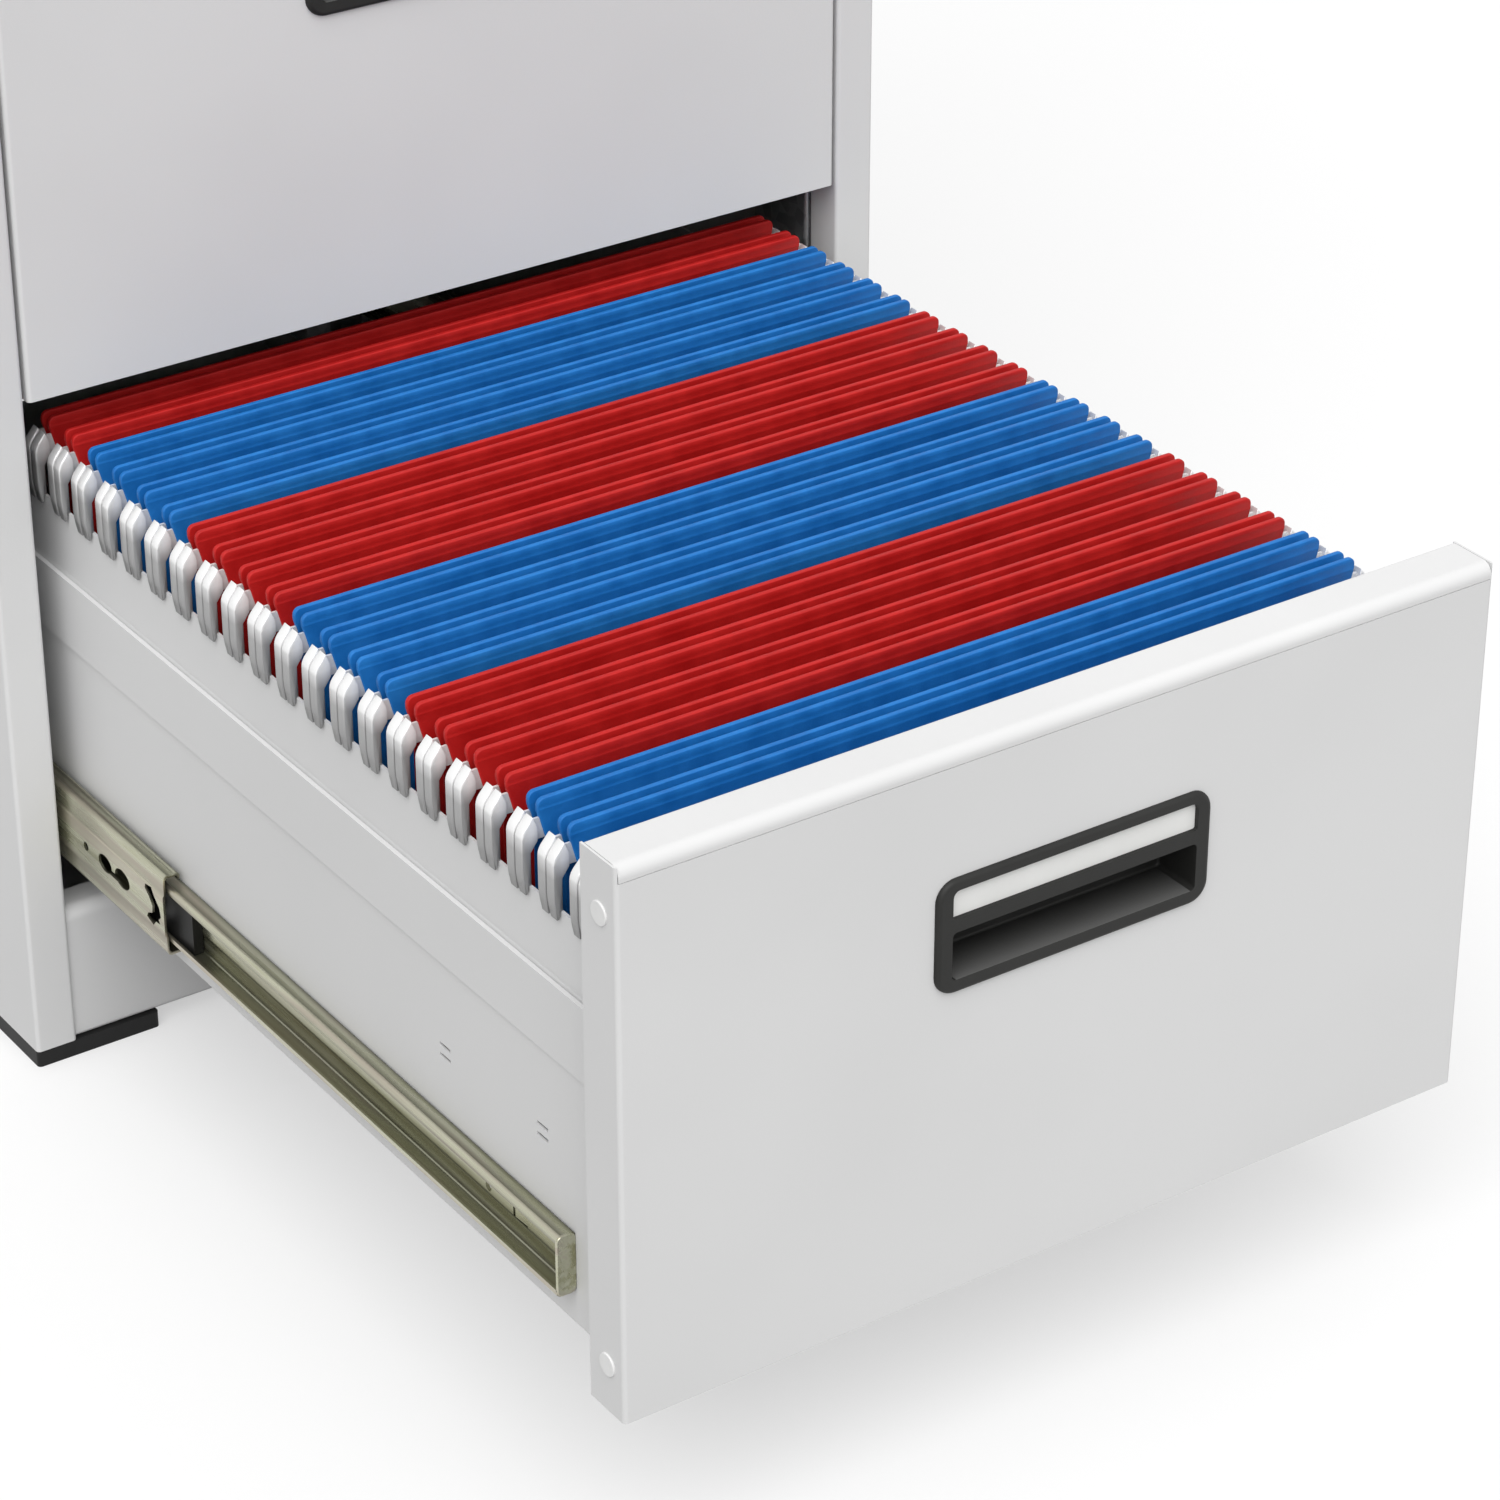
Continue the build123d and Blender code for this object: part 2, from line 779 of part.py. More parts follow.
def make_middle_slides(number):
    """The intermediate slide members, with the slots stamped near their front ends."""
    centre = drawer_bottom(number) + slide_centre
    start = middle_start(number)
    web_x = -slide_back + slide_sheet + slide_web_gap
    flange_x = web_x + middle_flange
    with BuildPart() as slides:
        path = [
            (flange_x, centre + middle_half_height - middle_lip),
            (flange_x, centre + middle_half_height),
            (web_x, centre + middle_half_height),
            (web_x, centre - middle_half_height),
            (flange_x, centre - middle_half_height),
            (flange_x, centre - middle_half_height + middle_lip),
        ]
        with BuildSketch(Plane.XZ.offset(-(start + middle_length))):
            add(folded(path, slide_bend_radius, slide_sheet, Side.LEFT))
        extrude(amount=middle_length)
        slot_y = start + middle_slot_setback
        with BuildSketch(Plane.YZ.offset(web_x - slide_sheet)):
            with Locations((start + middle_hole_setback, centre)):
                Circle(slide_hole_radius)
            with Locations((slot_y, centre)):
                with GridLocations(middle_slot_spacing, 0, 2, 1):
                    SlotOverall(middle_slot_length, middle_slot_width)
            with Locations((slot_y, centre - middle_slot_width / 4)):
                Rectangle(middle_slot_spacing, middle_slot_link)
            with Locations((start + middle_lance_setback, centre)):
                Rectangle(middle_lance_length / 2, middle_lance_height)
            with Locations(
                (start + middle_lance_setback + middle_lance_length / 3, centre - middle_lance_height / 3),
                (start + middle_lance_setback - middle_lance_length / 3, centre + middle_lance_height / 8),
            ):
                Rectangle(middle_lance_length, middle_lance_height / 3)
        extrude(amount=3 * slide_sheet, mode=Mode.SUBTRACT)
        mirror(about=Plane.YZ)
    return slides.part


def make_ball_cages(number):
    """Ball strips between the slide members, and the plastic retainer at the front end."""
    centre = drawer_bottom(number) + slide_centre
    start = middle_start(number)
    cage_x = -slide_back + 2 * slide_sheet + slide_web_gap + cage_web_gap
    inner_low = inner_half_height + cage_clearance
    inner_high = middle_half_height - slide_sheet - cage_clearance
    outer_low = middle_half_height + cage_clearance
    outer_high = outer_half_height - slide_sheet - cage_clearance
    inner_end = start + inner_cage_setback + ball_pitch * ball_count
    with BuildPart() as cages:
        for side in (-1, 1):
            block(
                (cage_x, cage_x + inner_cage_depth),
                (start + inner_cage_setback, inner_end),
                (centre + side * inner_low, centre + side * inner_high),
            )
            block(
                (cage_x, cage_x + outer_cage_depth),
                (start + outer_cage_setback, start + outer_cage_setback + outer_cage_length),
                (centre + side * outer_low, centre + side * outer_high),
            )
            ball_z = centre + side * (inner_low + inner_high) / 2
            for i in range(ball_count):
                ball_y = start + inner_cage_setback + (i + 0.5) * ball_pitch
                with Locations((cage_x + inner_cage_depth / 2, ball_y, ball_z)):
                    Sphere(ball_radius)
        block(
            (-side_half - slide_sheet - retainer_clearance, -side_half - slide_sheet - retainer_depth),
            (start - retainer_projection, start - retainer_projection + retainer_length),
            (
                centre - inner_half_height + slide_sheet + retainer_clearance,
                centre + inner_half_height - slide_sheet - retainer_clearance,
            ),
        )
        mirror(about=Plane.YZ)
    return cages.part


def make_caps(number):
    """The round plastic caps pressed into the side flanges of the front."""
    bottom = drawer_bottom(number)
    face_y = drawer_front_y(number)
    places = [(front_half, face_y + cap_setback, bottom + height) for height in cap_heights]
    with BuildPart() as caps:
        with Locations(*places):
            Cylinder(
                cap_radius,
                cap_proud,
                rotation=(0, 90, 0),
                align=(Align.CENTER, Align.CENTER, Align.MIN),
            )
        fillet(caps.faces().sort_by(Axis.X)[-2:].edges(), radius=cap_proud / 2)
        with Locations(*places):
            Cylinder(
                cap_stem_radius - cap_stem_clearance,
                cap_stem_length,
                rotation=(0, -90, 0),
                align=(Align.CENTER, Align.CENTER, Align.MIN),
            )
        mirror(about=Plane.YZ)
    return caps.part


for number in range(1, drawer_count + 1):
    save(make_front(number), f"drawer_{number}_front")
    save(make_liner(number), f"drawer_{number}_front_liner")
    save(make_handle(number), f"drawer_{number}_handle")
    save(make_label(number), f"drawer_{number}_label_card")
    save(make_body(number), f"drawer_{number}_body")
    save(make_file_rails(number), f"drawer_{number}_file_rails")
    save(make_inner_slides(number), f"drawer_{number}_inner_slides")
    save(make_middle_slides(number), f"drawer_{number}_middle_slides")
    save(make_ball_cages(number), f"drawer_{number}_ball_cages")
    save(make_caps(number), f"drawer_{number}_front_caps")

# Suspension files in the lowest drawer
file_bottom = drawer_bottom(1)
last_file_y = drawer_front_y(1) + first_file_setback
file_places = [
    (last_file_y + (len(file_colours) - 1 - i) * file_pitch, colour)
    for i, colour in enumerate(file_colours)
]
leaf_top_z = file_bottom + leaf_top
ridge_bottom_z = leaf_top_z - ridge_height
bar_bottom_z = ridge_bottom_z + bar_clearance
bar_half = leaf_half_width + hook_gap + bar_seat


def make_folders(colour):
    """Suspension files of one colour, each a front and a back leaf that meet at the bottom."""
    bottom_z = file_bottom + leaf_bottom
    outer = (leaf_spacing + ridge_width) / 2
    inner = (leaf_spacing - ridge_width) / 2
    section = [
        (leaf_seam, bottom_z),
        (leaf_sheet, bottom_z),
        (outer, bottom_z + leaf_turn),
        (outer, leaf_top_z),
        (inner, leaf_top_z),
        (inner, ridge_bottom_z),
        (inner + leaf_sheet, ridge_bottom_z),
        (inner + leaf_sheet, leaf_top_z - leaf_sheet),
        (outer - leaf_sheet, leaf_top_z - leaf_sheet),
        (outer - leaf_sheet, bottom_z + leaf_turn),
        (leaf_seam, bottom_z + leaf_sheet),
    ]
    with BuildPart() as one_folder:
        with BuildSketch(Plane.YZ.offset(-leaf_half_width)):
            with BuildLine():
                Polyline(*section, close=True)
            make_face()
        extrude(amount=2 * leaf_half_width)
        with BuildSketch(Plane.XZ):
            for hand in (-1, 1):
                with BuildLine():
                    Polyline(
                        (hand * (leaf_half_width + leaf_corner), leaf_top_z - 2 * leaf_corner),
                        (hand * (leaf_half_width + leaf_corner), leaf_top_z + leaf_corner),
                        (hand * (leaf_half_width - 2 * leaf_corner), leaf_top_z + leaf_corner),
                        close=True,
                    )
                make_face()
        extrude(amount=2 * outer, both=True, mode=Mode.SUBTRACT)
        mirror(about=Plane.XZ)
    with BuildPart() as folders:
        with Locations(*[(0, y, 0) for y, file_colour in file_places if file_colour == colour]):
            add(one_folder.part)
    return folders.part


def make_folder_bars():
    """The steel bars inside the ridges of the files."""
    with BuildPart() as bars:
        with Locations(*[(0, y, bar_bottom_z + bar_height / 2) for y, _ in file_places]):
            with GridLocations(0, leaf_spacing, 1, 2):
                Box(2 * bar_half, bar_sheet, bar_height)
    return bars.part


def make_folder_hooks():
    """The hooks on the ends of the bars, which hang over the drawer's rails."""
    seat_z = file_bottom + rail_top + hook_seat_clearance
    crest_z = leaf_top_z - hook_crest_drop
    shoulder_z = crest_z - hook_slope_drop
    tip_z = shoulder_z - hook_tab_length
    root_x = leaf_half_width + hook_gap
    tab_inner = rail_outer_half + hook_rail_clearance
    tab_outer = tab_inner + hook_thickness
    outline = [
        (root_x, bar_bottom_z),
        (root_x + hook_heel, seat_z),
        (tab_inner, seat_z),
        (tab_inner, tip_z + hook_tip),
        (tab_inner + hook_tip / 2, tip_z),
        (tab_outer - hook_tip / 2, tip_z),
        (tab_outer, tip_z + hook_tip),
        (tab_outer, shoulder_z),
        (root_x, crest_z),
    ]
    with BuildPart() as one_pair:
        with BuildSketch(Plane.XZ.offset(-hook_width / 2)):
            with BuildLine():
                Polyline(*outline, close=True)
            make_face()
        extrude(amount=hook_width)
        block(
            (root_x - cut_margin, bar_half + bar_seat_clearance),
            (-bar_sheet / 2 - bar_seat_clearance, bar_sheet / 2 + bar_seat_clearance),
            (bar_bottom_z - bar_seat_clearance, bar_bottom_z + bar_height + bar_seat_clearance),
            mode=Mode.SUBTRACT,
        )
        mirror(about=Plane.YZ)
    with BuildPart() as hooks:
        with Locations(*[(0, y, 0) for y, _ in file_places]):
            with GridLocations(0, leaf_spacing, 1, 2):
                add(one_pair.part)
    return hooks.part


save(make_folders("red"), "red_folders")
save(make_folders("blue"), "blue_folders")
save(make_folder_bars(), "folder_bars")
save(make_folder_hooks(), "folder_hooks")
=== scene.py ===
import bpy
import json
import math
from mathutils import Matrix, Vector


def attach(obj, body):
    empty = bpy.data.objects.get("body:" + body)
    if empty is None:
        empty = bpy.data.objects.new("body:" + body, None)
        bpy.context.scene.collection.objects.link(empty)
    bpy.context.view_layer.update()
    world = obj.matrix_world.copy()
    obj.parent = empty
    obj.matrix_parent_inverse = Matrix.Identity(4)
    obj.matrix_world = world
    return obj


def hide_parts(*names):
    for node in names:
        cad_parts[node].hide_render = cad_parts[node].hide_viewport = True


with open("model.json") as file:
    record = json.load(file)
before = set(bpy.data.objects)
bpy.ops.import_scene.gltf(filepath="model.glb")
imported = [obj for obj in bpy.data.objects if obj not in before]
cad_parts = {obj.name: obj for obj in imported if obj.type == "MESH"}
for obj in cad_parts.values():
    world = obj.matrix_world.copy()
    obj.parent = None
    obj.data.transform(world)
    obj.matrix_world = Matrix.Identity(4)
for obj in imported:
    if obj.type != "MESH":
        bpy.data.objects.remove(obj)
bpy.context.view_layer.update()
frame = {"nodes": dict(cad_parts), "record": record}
nodes = frame["nodes"]
mm = 0.001
print("frame loaded with", len(nodes), "nodes")


# Shared effects, each a node group that gives only colours, masks, values and normals

def newGroup(name, inputs, outputs):
    group = bpy.data.node_groups.new(name, "ShaderNodeTree")
    for label, value in inputs:
        socket = group.interface.new_socket(label, in_out="INPUT", socket_type="NodeSocketFloat")
        socket.default_value = value
    for label, kind in outputs:
        group.interface.new_socket(label, in_out="OUTPUT", socket_type=kind)
    first = group.nodes.new("NodeGroupInput")
    last = group.nodes.new("NodeGroupOutput")
    return group, first, last


def addNode(tree, kind, values=(), **settings):
    node = tree.nodes.new(kind)
    for key, value in settings.items():
        setattr(node, key, value)
    for key, value in dict(values).items():
        node.inputs[key].default_value = value
    return node


def makeSurfaceGrain():
    # a fine height and a slow tone, both set by a size in metres
    group, first, last = newGroup(
        "surfaceGrain",
        [("Grain size", 0.001), ("Tone size", 0.2)],
        [("Height", "NodeSocketFloat"), ("Tone", "NodeSocketFloat")],
    )
    place = addNode(group, "ShaderNodeTexCoord")
    link = group.links.new
    for label, detail, output in (("Grain size", 2.0, "Height"), ("Tone size", 3.0, "Tone")):
        scale = addNode(group, "ShaderNodeMath", {0: 1.0}, operation="DIVIDE")
        noise = addNode(group, "ShaderNodeTexNoise", {"Detail": detail, "Roughness": 0.55})
        link(first.outputs[label], scale.inputs[1])
        link(place.outputs["Object"], noise.inputs["Vector"])
        link(scale.outputs[0], noise.inputs["Scale"])
        link(noise.outputs["Fac"], last.inputs[output])
    return group


def makeStreaks():
    # noise drawn out along Y, as rolled and drawn metal shows
    group, first, last = newGroup(
        "drawnStreaks",
        [("Across size", 0.002), ("Along size", 0.08)],
        [("Streak", "NodeSocketFloat"), ("Patch", "NodeSocketFloat")],
    )
    place = addNode(group, "ShaderNodeTexCoord")
    split = addNode(group, "ShaderNodeSeparateXYZ")
    join = addNode(group, "ShaderNodeCombineXYZ")
    link = group.links.new
    link(place.outputs["Object"], split.inputs[0])
    for axis, label in (("X", "Across size"), ("Y", "Along size"), ("Z", "Across size")):
        shrink = addNode(group, "ShaderNodeMath", operation="DIVIDE")
        link(split.outputs[axis], shrink.inputs[0])
        link(first.outputs[label], shrink.inputs[1])
        link(shrink.outputs[0], join.inputs[axis])
    for output, scale, detail in (("Streak", 1.0, 3.0), ("Patch", 0.16, 1.0)):
        noise = addNode(group, "ShaderNodeTexNoise", {"Scale": scale, "Detail": detail})
        link(join.outputs[0], noise.inputs["Vector"])
        link(noise.outputs["Fac"], last.inputs[output])
    return group


surfaceGrain = makeSurfaceGrain()
drawnStreaks = makeStreaks()
print("effect groups ready")


# Finishes

finishSet = {
    "noiseRange": (0.3, 0.7),
    "toneStops": (0.35, 0.65),
    "roughnessSpread": 0.04,
}


def placeGroup(tree, group, values):
    return addNode(tree, "ShaderNodeGroup", values, node_tree=group)


def addRamp(tree, source, stops):
    ramp = tree.nodes.new("ShaderNodeValToRGB")
    stopsOn = ramp.color_ramp.elements
    while len(stopsOn) < len(stops):
        stopsOn.new(0.5)
    for element, (position, colour) in zip(stopsOn, stops):
        element.position = position
        element.color = (*colour, 1.0)
    tree.links.new(source, ramp.inputs["Fac"])
    return ramp.outputs["Color"]


def addTones(tree, source, dark, light):
    first, last = finishSet["toneStops"]
    return addRamp(tree, source, [(first, dark), (last, light)])


def addRange(tree, source, low, high):
    # spreads a noise, which seldom leaves its middle values, from low to high
    first, last = finishSet["noiseRange"]
    limits = {"From Min": first, "From Max": last, "To Min": low, "To Max": high}
    spread = addNode(tree, "ShaderNodeMapRange", limits)
    tree.links.new(source, spread.inputs["Value"])
    return spread.outputs["Result"]


def addBump(tree, shader, height, distance, strength=1.0):
    bump = addNode(tree, "ShaderNodeBump", {"Distance": distance, "Strength": strength})
    tree.links.new(height, bump.inputs["Height"])
    tree.links.new(bump.outputs["Normal"], shader.inputs["Normal"])


def newFinish(name):
    finish = bpy.data.materials.new(name)
    finish.use_nodes = True
    return finish, finish.node_tree, finish.node_tree.nodes["Principled BSDF"]


def grainFinish(name, dark, light, roughness, grainSize, grainDepth, toneSize, metallic=0.0, specular=0.5):
    # a plain finish with fine grain and a slow change of tone and gloss
    finish, tree, shader = newFinish(name)
    grain = placeGroup(tree, surfaceGrain, {"Grain size": grainSize, "Tone size": toneSize})
    tree.links.new(addTones(tree, grain.outputs["Tone"], dark, light), shader.inputs["Base Color"])
    spread = finishSet["roughnessSpread"]
    rough = addRange(tree, grain.outputs["Tone"], roughness - spread, roughness + spread)
    tree.links.new(rough, shader.inputs["Roughness"])
    addBump(tree, shader, grain.outputs["Height"], grainDepth)
    shader.inputs["Metallic"].default_value = metallic
    shader.inputs["Specular IOR Level"].default_value = specular
    return finish


def blendByAttribute(tree, attribute, colour, other):
    # turns a colour towards another as far as a piece's attribute says
    mask = addNode(tree, "ShaderNodeAttribute", attribute_name=attribute)
    mix = addNode(tree, "ShaderNodeMix", data_type="RGBA")
    factor, first, second = mix.inputs[0], mix.inputs[6], mix.inputs[7]  # the sockets that mix colours
    tree.links.new(mask.outputs["Fac"], factor)
    tree.links.new(colour, first)
    second.default_value = (*other, 1.0)
    return mix.outputs[2]


def plasticFinish(name):
    # fine-grained charcoal moulding, with painted light on the recess's floor: lit grey at the front, fading
    # into shade at the back
    finish, tree, shader = newFinish(name)
    grain = placeGroup(tree, surfaceGrain, {"Grain size": 0.0005, "Tone size": 0.02})
    charcoal = addTones(tree, grain.outputs["Tone"], (0.010, 0.010, 0.009), (0.016, 0.016, 0.015))
    # painted light: the grey of the recess floor's lit front
    paintedLitGrey = (0.10, 0.10, 0.098)
    colour = blendByAttribute(tree, "paintedRecessLight", charcoal, paintedLitGrey)
    tree.links.new(colour, shader.inputs["Base Color"])
    tree.links.new(addRange(tree, grain.outputs["Tone"], 0.54, 0.64), shader.inputs["Roughness"])
    addBump(tree, shader, grain.outputs["Height"], 0.00004)
    shader.inputs["Specular IOR Level"].default_value = 0.35
    return finish


def hookFinish(name):
    # plated tabs with painted light: grey and darker towards the tip as painted shade, turning white on the
    # slope near the crest as a painted highlight
    finish, tree, shader = newFinish(name)
    grain = placeGroup(tree, surfaceGrain, {"Grain size": 0.0004, "Tone size": 0.01})
    place = addNode(tree, "ShaderNodeTexCoord")
    split = addNode(tree, "ShaderNodeSeparateXYZ")
    belowTip, nearCrest = 0.262, 0.300
    height = addNode(tree, "ShaderNodeMapRange", {"From Min": belowTip, "From Max": nearCrest})
    tree.links.new(place.outputs["Object"], split.inputs[0])
    tree.links.new(split.outputs["Z"], height.inputs["Value"])
    # painted shade and highlight: base colour set by height, dark at the tip and white near the crest
    stops = [(0.1, (0.24, 0.24, 0.24)), (0.65, (0.40, 0.40, 0.40)), (0.84, (0.80, 0.80, 0.80))]
    tree.links.new(addRamp(tree, height.outputs["Result"], stops), shader.inputs["Base Color"])
    tree.links.new(addRange(tree, grain.outputs["Tone"], 0.36, 0.46), shader.inputs["Roughness"])
    addBump(tree, shader, grain.outputs["Height"], 0.00001)
    shader.inputs["Metallic"].default_value = 0.35
    return finish


def zincFinish(name):
    # yellow passivation: straw and olive, with a rosy film in long patches, and painted shade darkening the
    # profile's creases
    finish, tree, shader = newFinish(name)
    patchShare, streakShare = 0.55, 0.45
    streaks = placeGroup(tree, drawnStreaks, {"Across size": 0.0035, "Along size": 0.09})
    scaled = addNode(tree, "ShaderNodeMath", {1: streakShare}, operation="MULTIPLY")
    tree.links.new(streaks.outputs["Streak"], scaled.inputs[0])
    mixed = addNode(tree, "ShaderNodeMath", {1: patchShare}, operation="MULTIPLY_ADD")
    tree.links.new(streaks.outputs["Patch"], mixed.inputs[0])
    tree.links.new(scaled.outputs[0], mixed.inputs[2])
    stops = [
        (0.36, (0.30, 0.29, 0.17)),
        (0.45, (0.42, 0.42, 0.29)),
        (0.53, (0.52, 0.52, 0.40)),
        (0.62, (0.46, 0.42, 0.34)),
    ]
    # painted shade and dark reflections, laid on the profile's creases and lower web by its attribute
    paintedShadeOlive = (0.035, 0.035, 0.018)
    colour = blendByAttribute(tree, "paintedShade", addRamp(tree, mixed.outputs[0], stops), paintedShadeOlive)
    tree.links.new(colour, shader.inputs["Base Color"])
    tree.links.new(addRange(tree, streaks.outputs["Streak"], 0.22, 0.36), shader.inputs["Roughness"])
    addBump(tree, shader, streaks.outputs["Streak"], 0.00004, 0.6)
    shader.inputs["Metallic"].default_value = 0.9
    return finish


def galvanisedFinish(name):
    # spangled zinc, each crystal with its own grey and gloss
    finish, tree, shader = newFinish(name)
    place = addNode(tree, "ShaderNodeTexCoord")
    crystalsPerMetre = 140.0
    spangle = addNode(tree, "ShaderNodeTexVoronoi", {"Scale": crystalsPerMetre})
    tree.links.new(place.outputs["Object"], spangle.inputs["Vector"])
    grey = addNode(tree, "ShaderNodeSeparateColor")
    tree.links.new(spangle.outputs["Color"], grey.inputs[0])
    colour = addRamp(tree, grey.outputs[0], [(0.0, (0.46, 0.47, 0.49)), (1.0, (0.62, 0.63, 0.64))])
    tree.links.new(colour, shader.inputs["Base Color"])
    rough = addNode(tree, "ShaderNodeMapRange", {"To Min": 0.3, "To Max": 0.48})
    tree.links.new(grey.outputs[1], rough.inputs["Value"])
    tree.links.new(rough.outputs["Result"], shader.inputs["Roughness"])
    shader.inputs["Metallic"].default_value = 0.9
    return finish


def cardFinish(name, dark, light):
    # dyed kraft card: short fibres, a soft mottle and a dull face
    finish, tree, shader = newFinish(name)
    grain = placeGroup(tree, surfaceGrain, {"Grain size": 0.0009, "Tone size": 0.012})
    fibres = placeGroup(tree, drawnStreaks, {"Across size": 0.0007, "Along size": 0.003})
    colour = addRamp(tree, grain.outputs["Tone"], [(0.3, dark), (0.7, light)])
    tree.links.new(colour, shader.inputs["Base Color"])
    tree.links.new(addRange(tree, grain.outputs["Tone"], 0.5, 0.62), shader.inputs["Roughness"])
    both = addNode(tree, "ShaderNodeMath", operation="ADD")
    tree.links.new(grain.outputs["Height"], both.inputs[0])
    tree.links.new(fibres.outputs["Streak"], both.inputs[1])
    addBump(tree, shader, both.outputs[0], 0.00005)
    shader.inputs["Specular IOR Level"].default_value = 0.3
    return finish


finishes = {
    "cabinet_paint": grainFinish(
        "cabinetPaint", (0.638, 0.638, 0.638), (0.674, 0.674, 0.674),
        roughness=0.52, grainSize=0.0011, grainDepth=0.00003, toneSize=0.25, specular=0.35,
    ),
    "galvanised_steel": galvanisedFinish("galvanisedSteel"),
    "zinc_slide": zincFinish("yellowZinc"),
    "screw_steel": grainFinish(
        "screwSteel", (0.55, 0.55, 0.56), (0.68, 0.68, 0.7),
        roughness=0.3, grainSize=0.0003, grainDepth=0.00001, toneSize=0.004, metallic=1.0,
    ),
    "chrome_lock": grainFinish(
        "satinChrome", (0.72, 0.72, 0.72), (0.82, 0.82, 0.82),
        roughness=0.16, grainSize=0.0002, grainDepth=0.000004, toneSize=0.01, metallic=1.0,
    ),
    "handle_plastic": plasticFinish("charcoalPlastic"),
    "black_plastic": grainFinish(
        "blackPlastic", (0.006, 0.006, 0.006), (0.010, 0.010, 0.010),
        roughness=0.5, grainSize=0.0006, grainDepth=0.00003, toneSize=0.02, specular=0.25,
    ),
    "white_plastic": grainFinish(
        "whitePlastic", (0.68, 0.68, 0.675), (0.74, 0.74, 0.735),
        roughness=0.38, grainSize=0.0004, grainDepth=0.00001, toneSize=0.02,
    ),
    "label_card": grainFinish(
        "labelPaper", (0.74, 0.74, 0.725), (0.77, 0.77, 0.755),
        roughness=0.85, grainSize=0.0005, grainDepth=0.00003, toneSize=0.02,
    ),
    "red_card": cardFinish("redCard", (0.40, 0.007, 0.007), (0.50, 0.012, 0.011)),
    "blue_card": cardFinish("blueCard", (0.007, 0.130, 0.42), (0.013, 0.175, 0.52)),
    "hook_steel": hookFinish("platedHooks"),
}
slotOf = {row["node"]: row["material_slot"] for row in frame["record"]["subparts"]}
for nodeName, node in nodes.items():
    node.data.materials.clear()
    node.data.materials.append(finishes[slotOf[nodeName]])
print("finishes on", len(nodes), "nodes")


# Modelling steps that the pieces share, with sizes in millimetres

stepSet = {
    "tolerance": 0.02,
    "squarely": 0.9,
    "smoothAngle": 50,
    "overlap": 0.5,
    "pinLength": 8,
    "pinSides": 20,
}


def clearSelection():
    if bpy.context.object and bpy.context.object.mode == "EDIT":
        bpy.ops.object.mode_set(mode="OBJECT")
    bpy.ops.object.select_all(action="DESELECT")


def takeUp(*pieces):
    clearSelection()
    for piece in pieces:
        piece.select_set(True)
    bpy.context.view_layer.objects.active = pieces[0]


def addBlock(name, low, high):
    clearSelection()
    centre = [(a + b) / 2 * mm for a, b in zip(low, high)]
    bpy.ops.mesh.primitive_cube_add(size=1, location=centre)
    piece = bpy.context.object
    piece.name = name
    piece.scale = [(b - a) * mm for a, b in zip(low, high)]
    bpy.ops.object.transform_apply(location=True, rotation=True, scale=True)
    return piece


def addOutline(name, points, push):
    # a ring of points, filled and pushed out into a solid
    clearSelection()
    bpy.ops.mesh.primitive_circle_add(vertices=len(points), fill_type="NGON")
    piece = bpy.context.object
    piece.name = name
    for vertex, point in zip(piece.data.vertices, points):
        vertex.co = Vector(point) * mm
    bpy.ops.object.mode_set(mode="EDIT")
    bpy.ops.mesh.select_all(action="SELECT")
    bpy.ops.mesh.extrude_region_move(TRANSFORM_OT_translate={"value": Vector(push) * mm})
    bpy.ops.mesh.select_all(action="SELECT")
    bpy.ops.mesh.normals_make_consistent(inside=False)
    bpy.ops.object.mode_set(mode="OBJECT")
    return piece


def pickNothing(piece):
    takeUp(piece)
    for part in (piece.data.vertices, piece.data.edges, piece.data.polygons):
        part.foreach_set("select", [False] * len(part))


def pickFaces(piece, test):
    pickNothing(piece)
    for face in piece.data.polygons:
        face.select = test(face.center / mm, face.normal)
    bpy.context.tool_settings.mesh_select_mode = (False, False, True)
    bpy.ops.object.mode_set(mode="EDIT")


def pickEdges(piece, test):
    pickNothing(piece)
    points = [vertex.co / mm for vertex in piece.data.vertices]
    for edge in piece.data.edges:
        edge.select = test(points[edge.vertices[0]], points[edge.vertices[1]])
    bpy.context.tool_settings.mesh_select_mode = (False, True, False)
    bpy.ops.object.mode_set(mode="EDIT")


def pickPoints(piece, test):
    pickNothing(piece)
    for vertex in piece.data.vertices:
        vertex.select = test(vertex.co / mm)
    bpy.context.tool_settings.mesh_select_mode = (True, False, False)
    bpy.ops.object.mode_set(mode="EDIT")


def near(a, b):
    return abs(a - b) < stepSet["tolerance"]


def faces(part):
    # true where this part of a face's normal points squarely along its axis
    return part > stepSet["squarely"]


def pushOut(move):
    bpy.ops.mesh.extrude_region_move(TRANSFORM_OT_translate={"value": Vector(move) * mm})
    bpy.ops.object.mode_set(mode="OBJECT")


def roundPicked(width, segments):
    bpy.ops.mesh.bevel(offset=width * mm, segments=segments, affect="EDGES", clamp_overlap=True)
    bpy.ops.object.mode_set(mode="OBJECT")


def cutAcross(piece, place, facing):
    takeUp(piece)
    bpy.ops.object.mode_set(mode="EDIT")
    bpy.ops.mesh.select_all(action="SELECT")
    bpy.ops.mesh.bisect(plane_co=Vector(place) * mm, plane_no=facing)
    bpy.ops.object.mode_set(mode="OBJECT")


def applyModifiers(piece):
    takeUp(piece)
    for modifier in list(piece.modifiers):
        bpy.ops.object.modifier_apply(modifier=modifier.name)


def evenNormals(piece):
    takeUp(piece)
    bpy.ops.object.shade_smooth_by_angle(angle=math.radians(stepSet["smoothAngle"]))
    weighted = piece.modifiers.new("normals", "WEIGHTED_NORMAL")
    weighted.keep_sharp = True
    applyModifiers(piece)


def combine(piece, tool, operation):
    both = piece.modifiers.new("combine", "BOOLEAN")
    both.operation = operation
    both.solver = "EXACT"
    both.object = tool
    applyModifiers(piece)
    bpy.data.objects.remove(tool)


